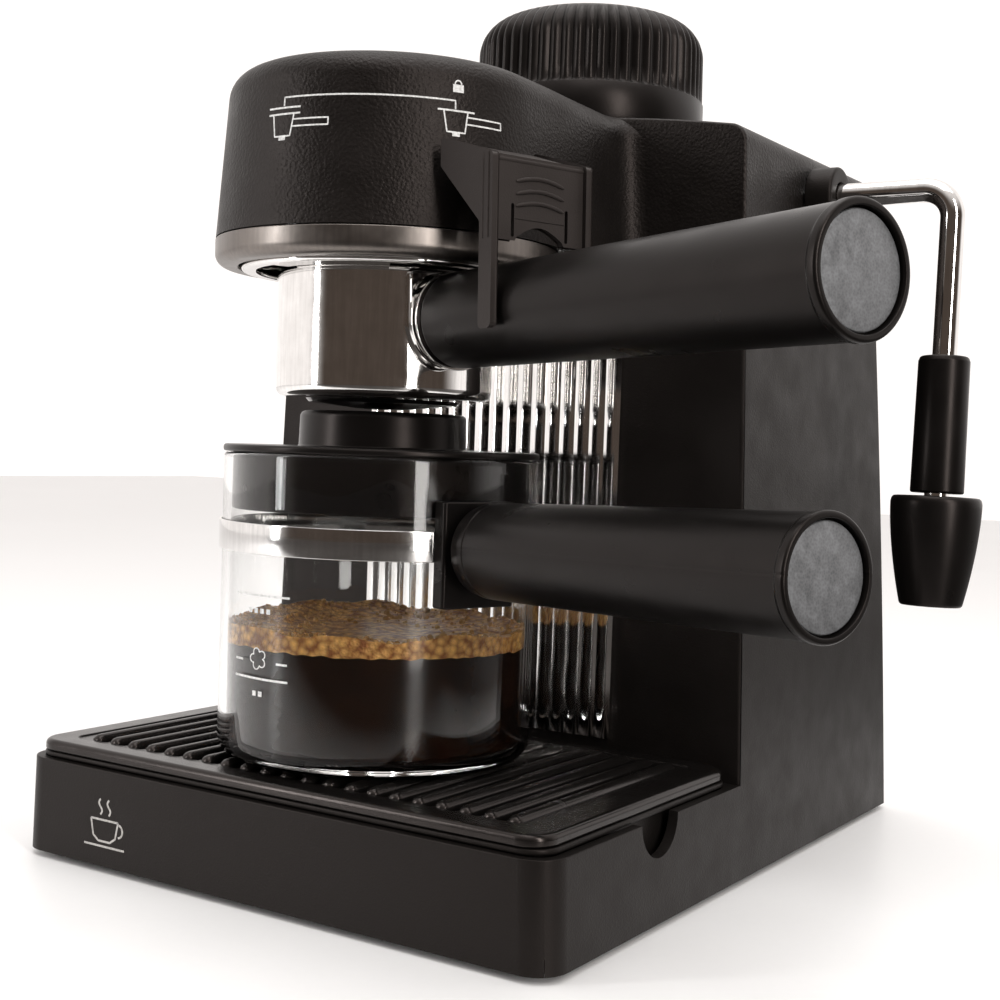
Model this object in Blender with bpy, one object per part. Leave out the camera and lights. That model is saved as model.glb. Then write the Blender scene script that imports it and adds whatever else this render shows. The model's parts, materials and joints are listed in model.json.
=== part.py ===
"""Steam espresso machine, modelled as a bench assembly of separate named pieces.

Units are metres and +Z is up.  Pieces are drawn in the design frame: X = 0 is the middle of
the body with +X on the right, Y = 0 is the front of the base with the back at +Y, and Z = 0 is
the lower edge of the housing.  One root empty then moves the whole machine, so that the origin
is the middle of its footprint on the worktop.
"""
import math

import bmesh
import bpy
import numpy as np
from mathutils import Matrix, Vector

# ---- driving dimensions -------------------------------------------------------------------
GAP = 0.0003                      # air left between neighbouring solids
WALL = 0.0026                     # moulded housing wall
ROUND = 28                        # sides of an ordinary turned piece

BASE_HALF_WIDTH = 0.095           # at the lower edge
SIDE_DRAFT = 0.034                # metres lost from each side per metre of height
BASE_RIM_Z = 0.0284               # top edge of the base
BASE_CORNER = 0.009               # vertical front corners of the base
COLUMN_FRONT_Y = 0.110
COLUMN_EDGE = 0.002
REAR_BOTTOM_Y = 0.2422            # back face, which leans forward along a parabola
REAR_SLOPE = 0.0367
REAR_CURVE = 0.25
REAR_EDGE = 0.005
SEAM_Z = 0.1850                   # parting line between lower and upper housing
ROOF_MID_Z = 0.2330
ROOF_CROWN = 0.0080               # drop of the roof from its middle to the side
ROOF_HALF_WIDTH = 0.088
ROOF_EDGE = 0.006

BREW_Y = 0.052                    # brewing axis: head, filter holder
HEAD_RADIUS = 0.0503              # at the seam
HEAD_TOP_RADIUS = 0.0469
HEAD_TOP_Z = 0.2326
HEAD_EDGE = 0.0075
HEAD_FILLET = 0.0065
BOILER_Y = 0.167                  # boiler axis
BOILER_RADIUS = 0.036
BOILER_INNER = 0.0335
BOILER_SEAM_Z = 0.1760            # joint between the boiler's pot and its dome

FOOT_HEIGHT = 0.0020
FOOT_SPOTS = ((-0.080, 0.016), (0.080, 0.016), (-0.080, 0.220), (0.080, 0.220))
SCREW_SPOTS = ((-0.062, 0.117), (0.062, 0.117), (-0.062, 0.233), (0.062, 0.233))

TRAY_TOP_Z = 0.0303
GRILLE_BOTTOM_Z = 0.0306
GRILLE_PLATE_Z = 0.0338
GRILLE_RIB_Z = 0.0349
RIB_COUNT = 21
RIB_PITCH = 0.0076
RIB_WIDTH = 0.0042
RIB_FRONT_Y = 0.0115
RIB_BACK_Y = 0.0995
NOTCH_Y = 0.058
NOTCH_RADIUS = 0.0105

PANEL_HALF_WIDTH = 0.049
PANEL_BOTTOM_Z = 0.0365
PANEL_TOP_Z = 0.180
FLUTE_COUNT = 18
FLUTE_DEPTH = 0.0011

HOLDER_ANGLE = math.radians(-20.0)     # handle direction, measured from +X
HOLDER_TILT = math.radians(1.587)      # the filter handle rises towards its end
HOLDER_AXIS_Z = 0.1607                 # handle axis height over the brewing axis
CUP_RADIUS = 0.032
CUP_TOP_Z = 0.1836
LEDGE_BOTTOM_Z = 0.1760
LEDGE_TOP_Z = 0.1794
GUARD_T = 0.072                        # thumb guard pivot, along the filter handle

JUG_Y = 0.0525
JUG_SIDES = 36
JUG_RADIUS = 0.0465
JUG_WALL = 0.0022
JUG_BOTTOM_Z = 0.0352
JUG_TOP_Z = 0.1231
JUG_TILT = math.radians(1.68)
JUG_AXIS_Z = 0.0975
LID_RADIUS = 0.0468
LID_KNOB_RADIUS = 0.0247
LID_HOLE_RADIUS = 0.006

CAP_RADIUS = 0.0405
CAP_TOP_Z = 0.2783
CAP_RIBS = 60
NECK_TOP_Z = 0.252
NECK_BORE = 0.0185
PLUG_BOTTOM_Z = 0.240

WAND_Y = 0.163
WAND_Z = 0.2115
WAND_X = 0.1339
WAND_BEND = 0.009
WAND_LEAN = math.radians(2.5)
WAND_TUBE_RADIUS = 0.00375
KNOB_Y = 0.167
KNOB_Z = 0.207
SWITCH_Y = 0.160
SWITCH_Z = 0.060
LAMP_Z = 0.084
GLAND_X = 0.040
GLAND_Z = 0.022

# ---- secondary dimensions -----------------------------------------------------------------
SHARP_ANGLE = math.radians(35.0)       # edges that turn by more than this stay crisp
OVERCUT = 0.002                        # how far a cutter reaches past the face that it opens
PAST_SIDE = 0.110                      # X beyond the body's widest place, for cutters
INSIDE_SIDE = 0.080                    # X inside its side walls
REAR_LEVELS = 6
PLATE_LOW_Z = 0.0008
PLATE_TOP_Z = 0.0030
UNDERSIDE_Z = 0.0044                   # ceiling of the hollow under the base
HOLLOW_LOW_Z = 0.0034                  # hollow of the column, from just above the plate
HOLLOW_TOP_Z = 0.190
COLUMN_RELIEF = 0.0002
RECESS_FLOOR_Z = 0.007                 # recess that takes the drip tray
RECESS_CORNER = 0.006
TRAY_CLEARANCE = 0.0012
BOSS_LOW_Z = 0.0036
BOSS_TOP_Z = 0.026
SCREW_HOLE = 0.0019
SCREW_HOLE_TOP_Z = 0.016
FOOT_HOLE = 0.0030
LAMP_HOLE = 0.0034
GLAND_HOLE = 0.0062
SWITCH_HOLE_LENGTH = 0.0240
SWITCH_HOLE_HEIGHT = 0.0150
NECK_HOLE = 0.024
GROUP_HOLE = 0.0432
SHAFT_HOLE = 0.0033
WAND_HOLE = 0.0047
TRAY_HALF_WIDTH = 0.0915
TRAY_FRONT_Y = 0.0018
TRAY_BACK_Y = 0.1092
TRAY_CORNER = 0.008
CUP_SIDES = 34
CUP_BOTTOM_Z = 0.1400
CUP_WALL = 0.0023
CUP_FLOOR = 0.0024
CUP_OUTLET = 0.0040
LEDGE_SPAN = 58.0                      # degrees of arc
LUG_SPAN = 40.0
LIP_START_Z = 0.1100                   # the jug's pouring lip grows from here to the rim
LIP_HALF_Z = 0.1180
LIP_HALF = 0.0016
LIP_FULL = 0.0045
STRAP_MID_Z = 0.0995
STRAP_WIDTH = 0.0084
PAD_LOW_Z = 0.0830
PAD_TOP_Z = 0.1120
NECK_RADIUS = 0.0220
DOME_TOP_Z = 0.2220

# ---- colours: name -> (red, green, blue, roughness, metallic) ------------------------------
FINISHES = {
    "black_textured": (0.018, 0.016, 0.015, 0.45, 0.0),
    "black_gloss": (0.008, 0.008, 0.008, 0.12, 0.0),
    "black_satin": (0.012, 0.011, 0.011, 0.32, 0.0),
    "black_matte": (0.030, 0.027, 0.025, 0.60, 0.0),
    "chrome": (0.80, 0.79, 0.78, 0.08, 1.0),
    "grey_ring": (0.20, 0.19, 0.18, 0.35, 0.9),
    "silver_disc": (0.42, 0.43, 0.45, 0.45, 0.8),
    "steel": (0.55, 0.55, 0.56, 0.30, 1.0),
    "aluminium": (0.62, 0.62, 0.63, 0.40, 1.0),
    "brass": (0.60, 0.45, 0.18, 0.30, 1.0),
    "rubber": (0.020, 0.020, 0.020, 0.85, 0.0),
    "glass": (0.90, 0.93, 0.92, 0.02, 0.0),
    "red_lens": (0.60, 0.03, 0.02, 0.15, 0.0),
}


# ---- small tools --------------------------------------------------------------------------
def clear_scene():
    """Remove every object, so the script always starts from nothing."""
    for item in list(bpy.data.objects):
        bpy.data.objects.remove(item, do_unlink=True)


def finish(name):
    """Principled material with the colour, roughness and metallic value of one finish."""
    material = bpy.data.materials.get(name) or bpy.data.materials.new(name)
    material.use_nodes = True
    red, green, blue, roughness, metallic = FINISHES[name]
    shader = material.node_tree.nodes["Principled BSDF"]
    shader.inputs["Base Color"].default_value = (red, green, blue, 1.0)
    shader.inputs["Roughness"].default_value = roughness
    shader.inputs["Metallic"].default_value = metallic
    material.diffuse_color = (red, green, blue, 1.0)
    return material


def solid(name, shape, material, pivot=(0.0, 0.0, 0.0), parent=None):
    """Object from (points, faces), with its origin on the pivot and its faces turned outward."""
    points, faces = shape
    mesh = bpy.data.meshes.new(name)
    build = bmesh.new()
    verts = [build.verts.new(Vector(point) - Vector(pivot)) for point in points]
    for face in faces:
        build.faces.new([verts[index] for index in face])
    bmesh.ops.recalc_face_normals(build, faces=build.faces)
    build.to_mesh(mesh)
    build.free()
    mesh.shade_smooth()
    mesh.set_sharp_from_angle(angle=SHARP_ANGLE)
    item = bpy.data.objects.new(name, mesh)
    bpy.context.scene.collection.objects.link(item)
    mesh.materials.append(finish(material))
    item.parent = parent
    item.location = Vector(pivot) - offset_of(parent)
    return item


def offset_of(parent):
    """Place of a parent empty in the design frame; the empties are never turned."""
    total = Vector((0.0, 0.0, 0.0))
    while parent is not None:
        total += parent.location
        parent = parent.parent
    return total


def cutter(name, shape):
    """Guide solid for a Boolean, left out of the model itself."""
    item = solid(name, shape, "black_matte")
    item.hide_render = True
    item.display_type = "WIRE"
    return item


def boolean(item, guide, operation="DIFFERENCE"):
    """Cut or join a guide solid; both follow the same parent."""
    guide.parent = item.parent
    guide.location = -offset_of(item.parent)
    step = item.modifiers.new(guide.name, "BOOLEAN")
    step.operation = operation
    step.solver = "EXACT"
    step.object = guide


def merged(*shapes):
    """Several closed shapes listed as one set of points and faces."""
    points = []
    faces = []
    for shape_points, shape_faces in shapes:
        start = len(points)
        points.extend(shape_points)
        faces.extend([tuple(index + start for index in face) for face in shape_faces])
    return points, faces


def placed(shape, matrix):
    """A shape moved by a 4x4 matrix."""
    points, faces = shape
    return [tuple(matrix @ Vector(point)) for point in points], faces


def turned(profile, centre=(0.0, 0.0, 0.0), sides=ROUND):
    """Turn (radius, height) points about Z; a profile off the axis closes on itself as a ring."""
    on_axis = profile[0][0] == 0.0
    points = []
    rings = []
    for radius, height in profile:
        if radius == 0.0:
            rings.append([len(points)] * sides)
            points.append((centre[0], centre[1], centre[2] + height))
            continue
        rings.append(list(range(len(points), len(points) + sides)))
        for step in range(sides):
            angle = 2.0 * math.pi * step / sides
            points.append((centre[0] + radius * math.cos(angle),
                           centre[1] + radius * math.sin(angle), centre[2] + height))
    faces = []
    pairs = list(zip(rings, rings[1:])) if on_axis else list(zip(rings, rings[1:] + rings[:1]))
    for low, high in pairs:
        for step in range(sides):
            following = (step + 1) % sides
            corners = [low[step], low[following], high[following], high[step]]
            face = tuple(dict.fromkeys(corners))
            if len(face) > 2:
                faces.append(face)
    return points, faces


def lofted(rings, closed=False):
    """Skin through rings of equal length; open lofts get flat caps, closed ones join up."""
    count = len(rings[0])
    points = [tuple(point) for ring in rings for point in ring]
    faces = []
    spans = len(rings) if closed else len(rings) - 1
    for level in range(spans):
        low = level * count
        high = ((level + 1) % len(rings)) * count
        for step in range(count):
            following = (step + 1) % count
            faces.append((low + step, low + following, high + following, high + step))
    if not closed:
        faces.append(tuple(range(count)))
        faces.append(tuple(range((len(rings) - 1) * count, len(rings) * count)))
    return points, faces


def arc(centre, radius, start, end, steps):
    """Points on an arc, angles in degrees."""
    angles = np.radians(np.linspace(start, end, steps + 1))
    return [(centre[0] + radius * math.cos(a), centre[1] + radius * math.sin(a)) for a in angles]


def rounded_rectangle(x_low, x_high, y_low, y_high, radius, steps=3):
    """Corner-rounded outline, anticlockwise from the lower right corner."""
    corners = ((x_high - radius, y_low + radius, -90.0), (x_high - radius, y_high - radius, 0.0),
               (x_low + radius, y_high - radius, 90.0), (x_low + radius, y_low + radius, 180.0))
    outline = []
    for x, y, start in corners:
        outline.extend(arc((x, y), radius, start, start + 90.0, steps))
    return outline


def at_height(outline, height):
    """Flat outline lifted to one height."""
    return [(x, y, height) for x, y in outline]


def block(x_low, x_high, y_low, y_high, z_low, z_high):
    """Plain box between six planes."""
    outline = [(x_low, y_low), (x_high, y_low), (x_high, y_high), (x_low, y_high)]
    return lofted([at_height(outline, z_low), at_height(outline, z_high)])


def drill(radius, low, high, place=(0.0, 0.0, 0.0), sides=16):
    """Round cutter between two heights."""
    return turned([(0.0, low), (radius, low), (radius, high), (0.0, high)], place, sides)


def swept(path, radius, sides=12):
    """Round tube along points, its rings carried without twist."""
    path = [Vector(point) for point in path]
    rings = []
    side = None
    for index, point in enumerate(path):
        before = path[max(index - 1, 0)]
        after = path[min(index + 1, len(path) - 1)]
        forward = (after - before).normalized()
        if side is None:
            side = forward.orthogonal()
        side = (side - forward * side.dot(forward)).normalized()
        other = forward.cross(side)
        angles = [2.0 * math.pi * step / sides for step in range(sides)]
        rings.append([point + side * radius * math.cos(a) + other * radius * math.sin(a)
                      for a in angles])
    return lofted(rings)


def smooth_route(points, steps=3):
    """Catmull-Rom curve through a few route points."""
    points = [Vector(point) for point in points]
    padded = [points[0] * 2 - points[1]] + points + [points[-1] * 2 - points[-2]]
    route = []
    for index in range(1, len(padded) - 2):
        before, start, end, after = padded[index - 1:index + 3]
        for step in range(steps):
            t = step / steps
            route.append(0.5 * (2 * start + (end - before) * t
                                + (2 * before - 5 * start + 4 * end - after) * t ** 2
                                + (3 * start - before - 3 * end + after) * t ** 3))
    route.append(points[-1])
    return route


def half_width(height):
    """Outer half width of the drafted body at one height."""
    return BASE_HALF_WIDTH - SIDE_DRAFT * height


def rear(height):
    """Y of the leaning back face at one height."""
    return REAR_BOTTOM_Y - REAR_SLOPE * height - REAR_CURVE * height ** 2


def roof(x):
    """Height of the crowned roof."""
    return ROOF_MID_Z - ROOF_CROWN * (x / ROOF_HALF_WIDTH) ** 2


def axis_frame(origin, direction):
    """Matrix that turns local +Z onto a direction, keeping local +Y as level as it can."""
    forward = Vector(direction).normalized()
    level = Vector((0.0, 0.0, 1.0)).cross(forward)
    side = level.normalized() if level.length > 0.001 else Vector((0.0, 1.0, 0.0))
    rise = forward.cross(side)
    turn = Matrix((rise, side, forward)).transposed().to_4x4()
    return Matrix.Translation(Vector(origin)) @ turn


def handle_frame(centre_y, axis_z, tilt):
    """Frame of a handle: local X up, local Y level across it, local Z outward along it."""
    direction = (math.cos(HOLDER_ANGLE) * math.cos(tilt),
                 math.sin(HOLDER_ANGLE) * math.cos(tilt), math.sin(tilt))
    return axis_frame((0.0, centre_y, axis_z), direction)


# ---- housing ------------------------------------------------------------------------------
def body_block(front, inset, low, high, levels=1):
    """Slice of the drafted body: sides, leaning back and a flat front, all inset evenly."""
    rings = []
    for height in np.linspace(low, high, levels + 1):
        side = half_width(height) - inset
        back = rear(height) - inset
        rings.append(at_height([(-side, front), (side, front), (side, back), (-side, back)],
                               height))
    return lofted(rings)


def bevel_upright_edges(item, chosen_by, width, steps):
    """Round the near-vertical edges whose middle point passes the test."""
    build = bmesh.new()
    build.from_mesh(item.data)
    chosen = []
    for edge in build.edges:
        run = edge.verts[0].co - edge.verts[1].co
        if abs(run.z) < 0.9 * run.length:
            continue
        if chosen_by((edge.verts[0].co + edge.verts[1].co) / 2):
            chosen.append(edge)
    bmesh.ops.bevel(build, geom=chosen, offset=width, segments=steps, profile=0.5,
                    affect="EDGES", clamp_overlap=True)
    bmesh.ops.recalc_face_normals(build, faces=build.faces)
    build.to_mesh(item.data)
    build.free()
    item.data.shade_smooth()
    item.data.set_sharp_from_angle(angle=SHARP_ANGLE)


def main_housing(root):
    """Base and lower column in one moulding, open below and at the top of the column."""
    top = SEAM_Z - GAP
    near = 0.001
    outline = [(0.0, 0.0), (0.0, BASE_RIM_Z), (COLUMN_FRONT_Y, BASE_RIM_Z), (COLUMN_FRONT_Y, top)]
    outline += [(rear(height), height) for height in np.linspace(top, 0.0, REAR_LEVELS)]
    rings = [[(side * half_width(z), y, z) for y, z in outline] for side in (-1.0, 1.0)]
    item = solid("main_housing", lofted(rings), "black_textured", parent=root)
    bevel_upright_edges(item, lambda p: p.y < near, BASE_CORNER, 5)
    bevel_upright_edges(item, lambda p: abs(p.y - COLUMN_FRONT_Y) < near / 2, COLUMN_EDGE, 2)
    bevel_upright_edges(item, lambda p: p.y > rear(SEAM_Z) - 2 * near, REAR_EDGE, 3)
    inner = half_width(0.0) - WALL - TRAY_CLEARANCE
    recess = rounded_rectangle(-inner, inner, WALL, COLUMN_FRONT_Y - WALL, RECESS_CORNER)
    boolean(item, cutter("cut_tray_recess", lofted([at_height(recess, RECESS_FLOOR_Z),
                                                    at_height(recess, BASE_RIM_Z + OVERCUT)])))
    boolean(item, cutter("cut_underside", body_block(WALL, WALL, -OVERCUT, UNDERSIDE_Z)))
    column = body_block(COLUMN_FRONT_Y + WALL, WALL + COLUMN_RELIEF, HOLLOW_LOW_Z, HOLLOW_TOP_Z, 4)
    boolean(item, cutter("cut_column", column))
    boolean(item, cutter("join_bosses", screw_bosses()), "UNION")
    boolean(item, cutter("cut_main_holes", main_holes()))
    return item


def screw_bosses():
    """Four posts for the base screws, grown out of the column's front and back walls."""
    size = 0.005
    to_front_wall = 0.0065
    to_back_wall = 0.0075
    posts = []
    for x, y in SCREW_SPOTS:
        wall = -to_front_wall if y < BOILER_Y else to_back_wall
        low, high = sorted((y - math.copysign(size, wall), y + wall))
        posts.append(block(x - size, x + size, low, high, BOSS_LOW_Z, BOSS_TOP_Z))
    return merged(*posts)


def main_holes():
    """Finger notches, switch and lamp holes, cord inlet and the four screw holes."""
    across = Matrix.Rotation(math.pi / 2, 4, "Y")
    back = Matrix.Rotation(-math.pi / 2, 4, "X")
    notch = placed(drill(NOTCH_RADIUS, -PAST_SIDE, PAST_SIDE, sides=24),
                   Matrix.Translation((0.0, NOTCH_Y, BASE_RIM_Z)) @ across)
    lamp = placed(drill(LAMP_HOLE, -PAST_SIDE, -INSIDE_SIDE),
                  Matrix.Translation((0.0, SWITCH_Y, LAMP_Z)) @ across)
    switch = block(-PAST_SIDE, -INSIDE_SIDE,
                   SWITCH_Y - SWITCH_HOLE_LENGTH / 2, SWITCH_Y + SWITCH_HOLE_LENGTH / 2,
                   SWITCH_Z - SWITCH_HOLE_HEIGHT / 2, SWITCH_Z + SWITCH_HOLE_HEIGHT / 2)
    gland = placed(drill(GLAND_HOLE, 0.0, 0.04, sides=24),
                   Matrix.Translation((GLAND_X, rear(GLAND_Z) - 0.02, GLAND_Z)) @ back)
    screws = [drill(SCREW_HOLE, -OVERCUT, SCREW_HOLE_TOP_Z, (x, y, 0.0), 8) for x, y in SCREW_SPOTS]
    return merged(notch, lamp, switch, gland, *screws)


def roof_profile(inset):
    """Cross-section of the upper column at equal spacing: side, rounded edge, crown, and back."""
    edge = ROOF_EDGE - inset if inset < ROOF_EDGE else 0.001
    corner_x = half_width(0.222) - inset - edge
    corner_z = roof(corner_x) - inset - edge
    right = [(half_width(SEAM_Z) - inset, SEAM_Z)]
    right += arc((corner_x, corner_z), edge, 0.0, 80.0, 4)
    crown_x = np.linspace(corner_x * 0.86, 0.0, 4)
    right += [(x, roof(x) - inset) for x in crown_x]
    left = [(-x, z) for x, z in reversed(right[:-1])]
    return right + left


def upper_column(inset, front, low):
    """Roofed prism of the upper column; its back follows the leaning rear face."""
    profile = [(x, max(z, low)) if z > SEAM_Z else (x, low) for x, z in roof_profile(inset)]
    count = len(profile)
    points = [(x, front, z) for x, z in profile]
    points += [(x, rear(z) - inset, z) for x, z in profile]
    faces = [(i, i + 1, count + i + 1, count + i) for i in range(count - 1)]
    faces.append((count - 1, 0, count, 2 * count - 1))
    for start in (0, count):
        for i in range(count // 2):
            mirror = count - 1 - i
            corners = (start + i, start + i + 1, start + mirror - 1, start + mirror)
            face = tuple(dict.fromkeys(corners))
            faces.append(face)
    return points, faces


def head_outline(radius, inset):
    """D-shaped plan of the brewing head with concave fillets where it meets the column."""
    reach = radius - inset
    fillet = HEAD_FILLET + inset
    corner = COLUMN_FRONT_Y - HEAD_FILLET
    right = arc((0.0, BREW_Y), reach, -90.0, 0.0, 10)
    right += arc((reach + fillet, corner), fillet, 180.0, 90.0, 4)
    right.append((reach + fillet, COLUMN_FRONT_Y + 0.008 + inset))
    left = [(-x, y) for x, y in reversed(right[1:])]
    return right + left


def head_block(inset, low):
    """Brewing head: drafted D wall, rounded top edge and a top that meets the roof."""
    def level(height, extra):
        share = min(max((height - SEAM_Z) / (HEAD_TOP_Z - SEAM_Z), 0.0), 1.0)
        radius = HEAD_RADIUS + (HEAD_TOP_RADIUS - HEAD_RADIUS) * share
        ring = []
        for x, y in head_outline(radius, inset + extra):
            blend = min(max((y - BREW_Y) / (COLUMN_FRONT_Y - BREW_Y), 0.0), 1.0)
            drop = (HEAD_TOP_Z - min(roof(x), HEAD_TOP_Z)) * blend * share
            ring.append((x, y, height - drop))
        return ring
    top = HEAD_TOP_Z - inset
    edge = max(HEAD_EDGE - inset, 0.002)
    rings = [level(low, 0.0), level(top - edge, 0.0)]
    for angle in np.radians((30.0, 60.0, 90.0)):
        rings.append(level(top - edge + edge * math.sin(angle), edge * (1.0 - math.cos(angle))))
    return lofted(rings)


def top_housing(root):
    """Upper column with the overhanging brewing head, roof hole and two side holes."""
    item = solid("top_housing", upper_column(0.0, COLUMN_FRONT_Y, SEAM_Z), "black_textured",
                 parent=root)
    boolean(item, cutter("join_head", head_block(0.0, SEAM_Z)), "UNION")
    boolean(item, cutter("cut_upper_column",
                         upper_column(WALL, COLUMN_FRONT_Y + WALL, SEAM_Z - 0.002)))
    boolean(item, cutter("cut_head", head_block(WALL, SEAM_Z + WALL)))
    boolean(item, cutter("cut_top_holes", top_holes()))
    return item


def top_holes():
    """Neck hole in the roof, group opening in the head's floor, knob and wand holes."""
    across = Matrix.Rotation(math.pi / 2, 4, "Y")
    neck = drill(NECK_HOLE, ROOF_MID_Z - 0.011, ROOF_MID_Z + 0.007, (0.0, BOILER_Y, 0.0), ROUND)
    group = drill(GROUP_HOLE, SEAM_Z - 0.005, SEAM_Z + 0.004, (0.0, BREW_Y, 0.0), ROUND)
    knob = placed(drill(SHAFT_HOLE, -PAST_SIDE, -INSIDE_SIDE),
                  Matrix.Translation((0.0, KNOB_Y, KNOB_Z)) @ across)
    wand = placed(drill(WAND_HOLE, INSIDE_SIDE, PAST_SIDE),
                  Matrix.Translation((0.0, WAND_Y, WAND_Z)) @ across)
    return merged(neck, group, knob, wand)


def base_plate(root):
    """Steel plate that closes the underside, drilled for feet and screws."""
    item = solid("base_plate", body_block(WALL + GAP, WALL + GAP, PLATE_LOW_Z, PLATE_TOP_Z), "steel",
                 parent=root)
    above = 2 * PLATE_TOP_Z
    holes = [drill(FOOT_HOLE, -OVERCUT, above, (x, y, 0.0), 12) for x, y in FOOT_SPOTS]
    holes += [drill(SCREW_HOLE, -OVERCUT, above, (x, y, 0.0), 8) for x, y in SCREW_SPOTS]
    boolean(item, cutter("cut_plate_holes", merged(*holes)))


def feet_and_screws(root):
    """Push-in rubber feet and pan-head screws under the base plate."""
    seat = PLATE_LOW_Z - GAP
    pad = 0.0080
    stem = 0.0027
    foot = [(0.0, -FOOT_HEIGHT), (pad - 0.0010, -FOOT_HEIGHT), (pad, -FOOT_HEIGHT + 0.0008),
            (pad, seat), (stem, seat), (stem, PLATE_TOP_Z + 0.0010), (0.0, PLATE_TOP_Z + 0.0010)]
    head = 0.0032
    shank = SCREW_HOLE - GAP
    tip = SCREW_HOLE_TOP_Z - 0.0010
    screw = [(0.0, -0.0008), (head - 0.0008, -0.0008), (head, 0.0002), (head, seat),
             (shank, seat), (shank, tip), (0.0, tip)]
    for number, (x, y) in enumerate(FOOT_SPOTS, 1):
        solid(f"rubber_foot_{number}", turned(foot, (x, y, 0.0), 16), "rubber", (x, y, 0.0), root)
    for number, (x, y) in enumerate(SCREW_SPOTS, 1):
        solid(f"base_screw_{number}", turned(screw, (x, y, 0.0), 8), "steel", (x, y, 0.0), root)


def front_panel(root):
    """Bright fluted strip up the column, each flute a shallow half wave."""
    flute = 2.0 * PANEL_HALF_WIDTH / FLUTE_COUNT
    back = COLUMN_FRONT_Y - GAP
    face = back - 0.0006
    front = []
    for number in range(FLUTE_COUNT):
        for step in range(4):
            x = -PANEL_HALF_WIDTH + flute * (number + step / 4)
            front.append((x, face - FLUTE_DEPTH * math.sin(math.pi * step / 4)))
    front.append((PANEL_HALF_WIDTH, face))
    outline = front + [(PANEL_HALF_WIDTH, back), (-PANEL_HALF_WIDTH, back)]
    solid("front_panel", lofted([at_height(outline, PANEL_BOTTOM_Z),
                                 at_height(outline, PANEL_TOP_Z)]), "chrome", parent=root)


# ---- drip tray ----------------------------------------------------------------------------
def drip_tray(root):
    """Lift-out reservoir with a flange that rests on the base rim."""
    half = 0.0886
    front = 0.0050
    back = 0.1050
    thick = 0.0018
    wall = rounded_rectangle(-half, half, front, back, 0.005)
    inner = rounded_rectangle(-half + thick, half - thick, front + thick, back - thick, 0.0032)
    flange = rounded_rectangle(-TRAY_HALF_WIDTH, TRAY_HALF_WIDTH, TRAY_FRONT_Y, TRAY_BACK_Y,
                               TRAY_CORNER)
    floor = RECESS_FLOOR_Z + 0.0004
    shelf = BASE_RIM_Z + GAP
    rings = [at_height(wall, floor), at_height(wall, shelf), at_height(flange, shelf),
             at_height(flange, TRAY_TOP_Z), at_height(inner, TRAY_TOP_Z),
             at_height(inner, floor + 0.0020)]
    solid("drip_tray", lofted(rings), "black_textured", parent=root)


def drip_grille(root):
    """Ribbed cover that the jug stands on: slots between raised ribs."""
    half = TRAY_HALF_WIDTH - 0.0005
    front = TRAY_FRONT_Y - GAP
    back = TRAY_BACK_Y + 0.0001
    chamfer = 0.001
    edge = rounded_rectangle(-half, half, front, back, TRAY_CORNER)
    top = rounded_rectangle(-half + chamfer, half - chamfer, front + chamfer, back - chamfer,
                            TRAY_CORNER - chamfer)
    rib_reach = RIB_PITCH * (RIB_COUNT - 1) / 2 + RIB_WIDTH / 2
    raised = rounded_rectangle(-rib_reach, rib_reach, RIB_FRONT_Y + chamfer / 2,
                               RIB_BACK_Y - chamfer / 2, chamfer)
    rings = [at_height(edge, GRILLE_BOTTOM_Z), at_height(edge, GRILLE_PLATE_Z - chamfer),
             at_height(top, GRILLE_PLATE_Z), at_height(raised, GRILLE_PLATE_Z),
             at_height(raised, GRILLE_RIB_Z)]
    item = solid("drip_grille", lofted(rings), "black_gloss", parent=root)
    half_slot = (RIB_PITCH - RIB_WIDTH) / 2
    slots = []
    for number in range(RIB_COUNT - 1):
        x = RIB_PITCH * (number - (RIB_COUNT - 2) / 2)
        slots.append(block(x - half_slot, x + half_slot, RIB_FRONT_Y, RIB_BACK_Y,
                           GRILLE_BOTTOM_Z - OVERCUT, GRILLE_RIB_Z + OVERCUT))
    boolean(item, cutter("cut_slots", merged(*slots)))


# ---- brewing group ------------------------------------------------------------------------
def group_pieces(root):
    """Trim ring, bayonet casting with its ledges, gasket and shower screen."""
    centre = (0.0, BREW_Y, 0.0)
    ring_bore = 0.0436
    ring_curl = 0.0045
    ring_low = 0.1770
    ring = [(ring_bore, ring_low), (0.0459, ring_low)]
    ring += arc((0.0459, ring_low + ring_curl), ring_curl, -60.0, 0.0, 3)
    ring += [(0.0504, SEAM_Z - GAP), (ring_bore, SEAM_Z - GAP)]
    solid("group_ring", turned(ring, centre, 36), "grey_ring", parent=root)
    bore = 0.0382
    skirt = 0.0428
    pipe_hole = 0.0030
    floor = 0.1878
    roof_z = 0.1905
    casting = [(pipe_hole, floor), (bore, floor), (bore, LEDGE_BOTTOM_Z),
               (skirt - 0.0008, LEDGE_BOTTOM_Z), (skirt, LEDGE_BOTTOM_Z + 0.0008), (skirt, roof_z),
               (pipe_hole, roof_z)]
    head = solid("group_head", turned(casting, centre, 36), "chrome", parent=root)
    ledges = [arc_block(0.0334, 0.0395, LEDGE_BOTTOM_Z + 0.0001, LEDGE_TOP_Z, middle, LEDGE_SPAN)
              for middle in bayonet_angles()]
    boolean(head, cutter("join_ledges", merged(*ledges)), "UNION")
    seal_low = 0.1849
    seal_top = floor - GAP
    gasket = [(0.0240, seal_low), (0.0318, seal_low), (0.0318, seal_top), (0.0240, seal_top)]
    solid("group_gasket", turned(gasket, centre), "rubber", parent=root)
    rim = 0.0236
    screen = [(0.0, 0.1856), (0.0200, 0.1856), (rim, 0.1866), (rim, 0.1872), (0.0, 0.1872)]
    solid("shower_screen", turned(screen, centre, 24), "steel", parent=root)


def bayonet_angles():
    """Middle angles of the three bayonet ledges, in degrees from +X."""
    return [math.degrees(HOLDER_ANGLE) + 60.0 + 120.0 * number for number in range(3)]


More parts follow.
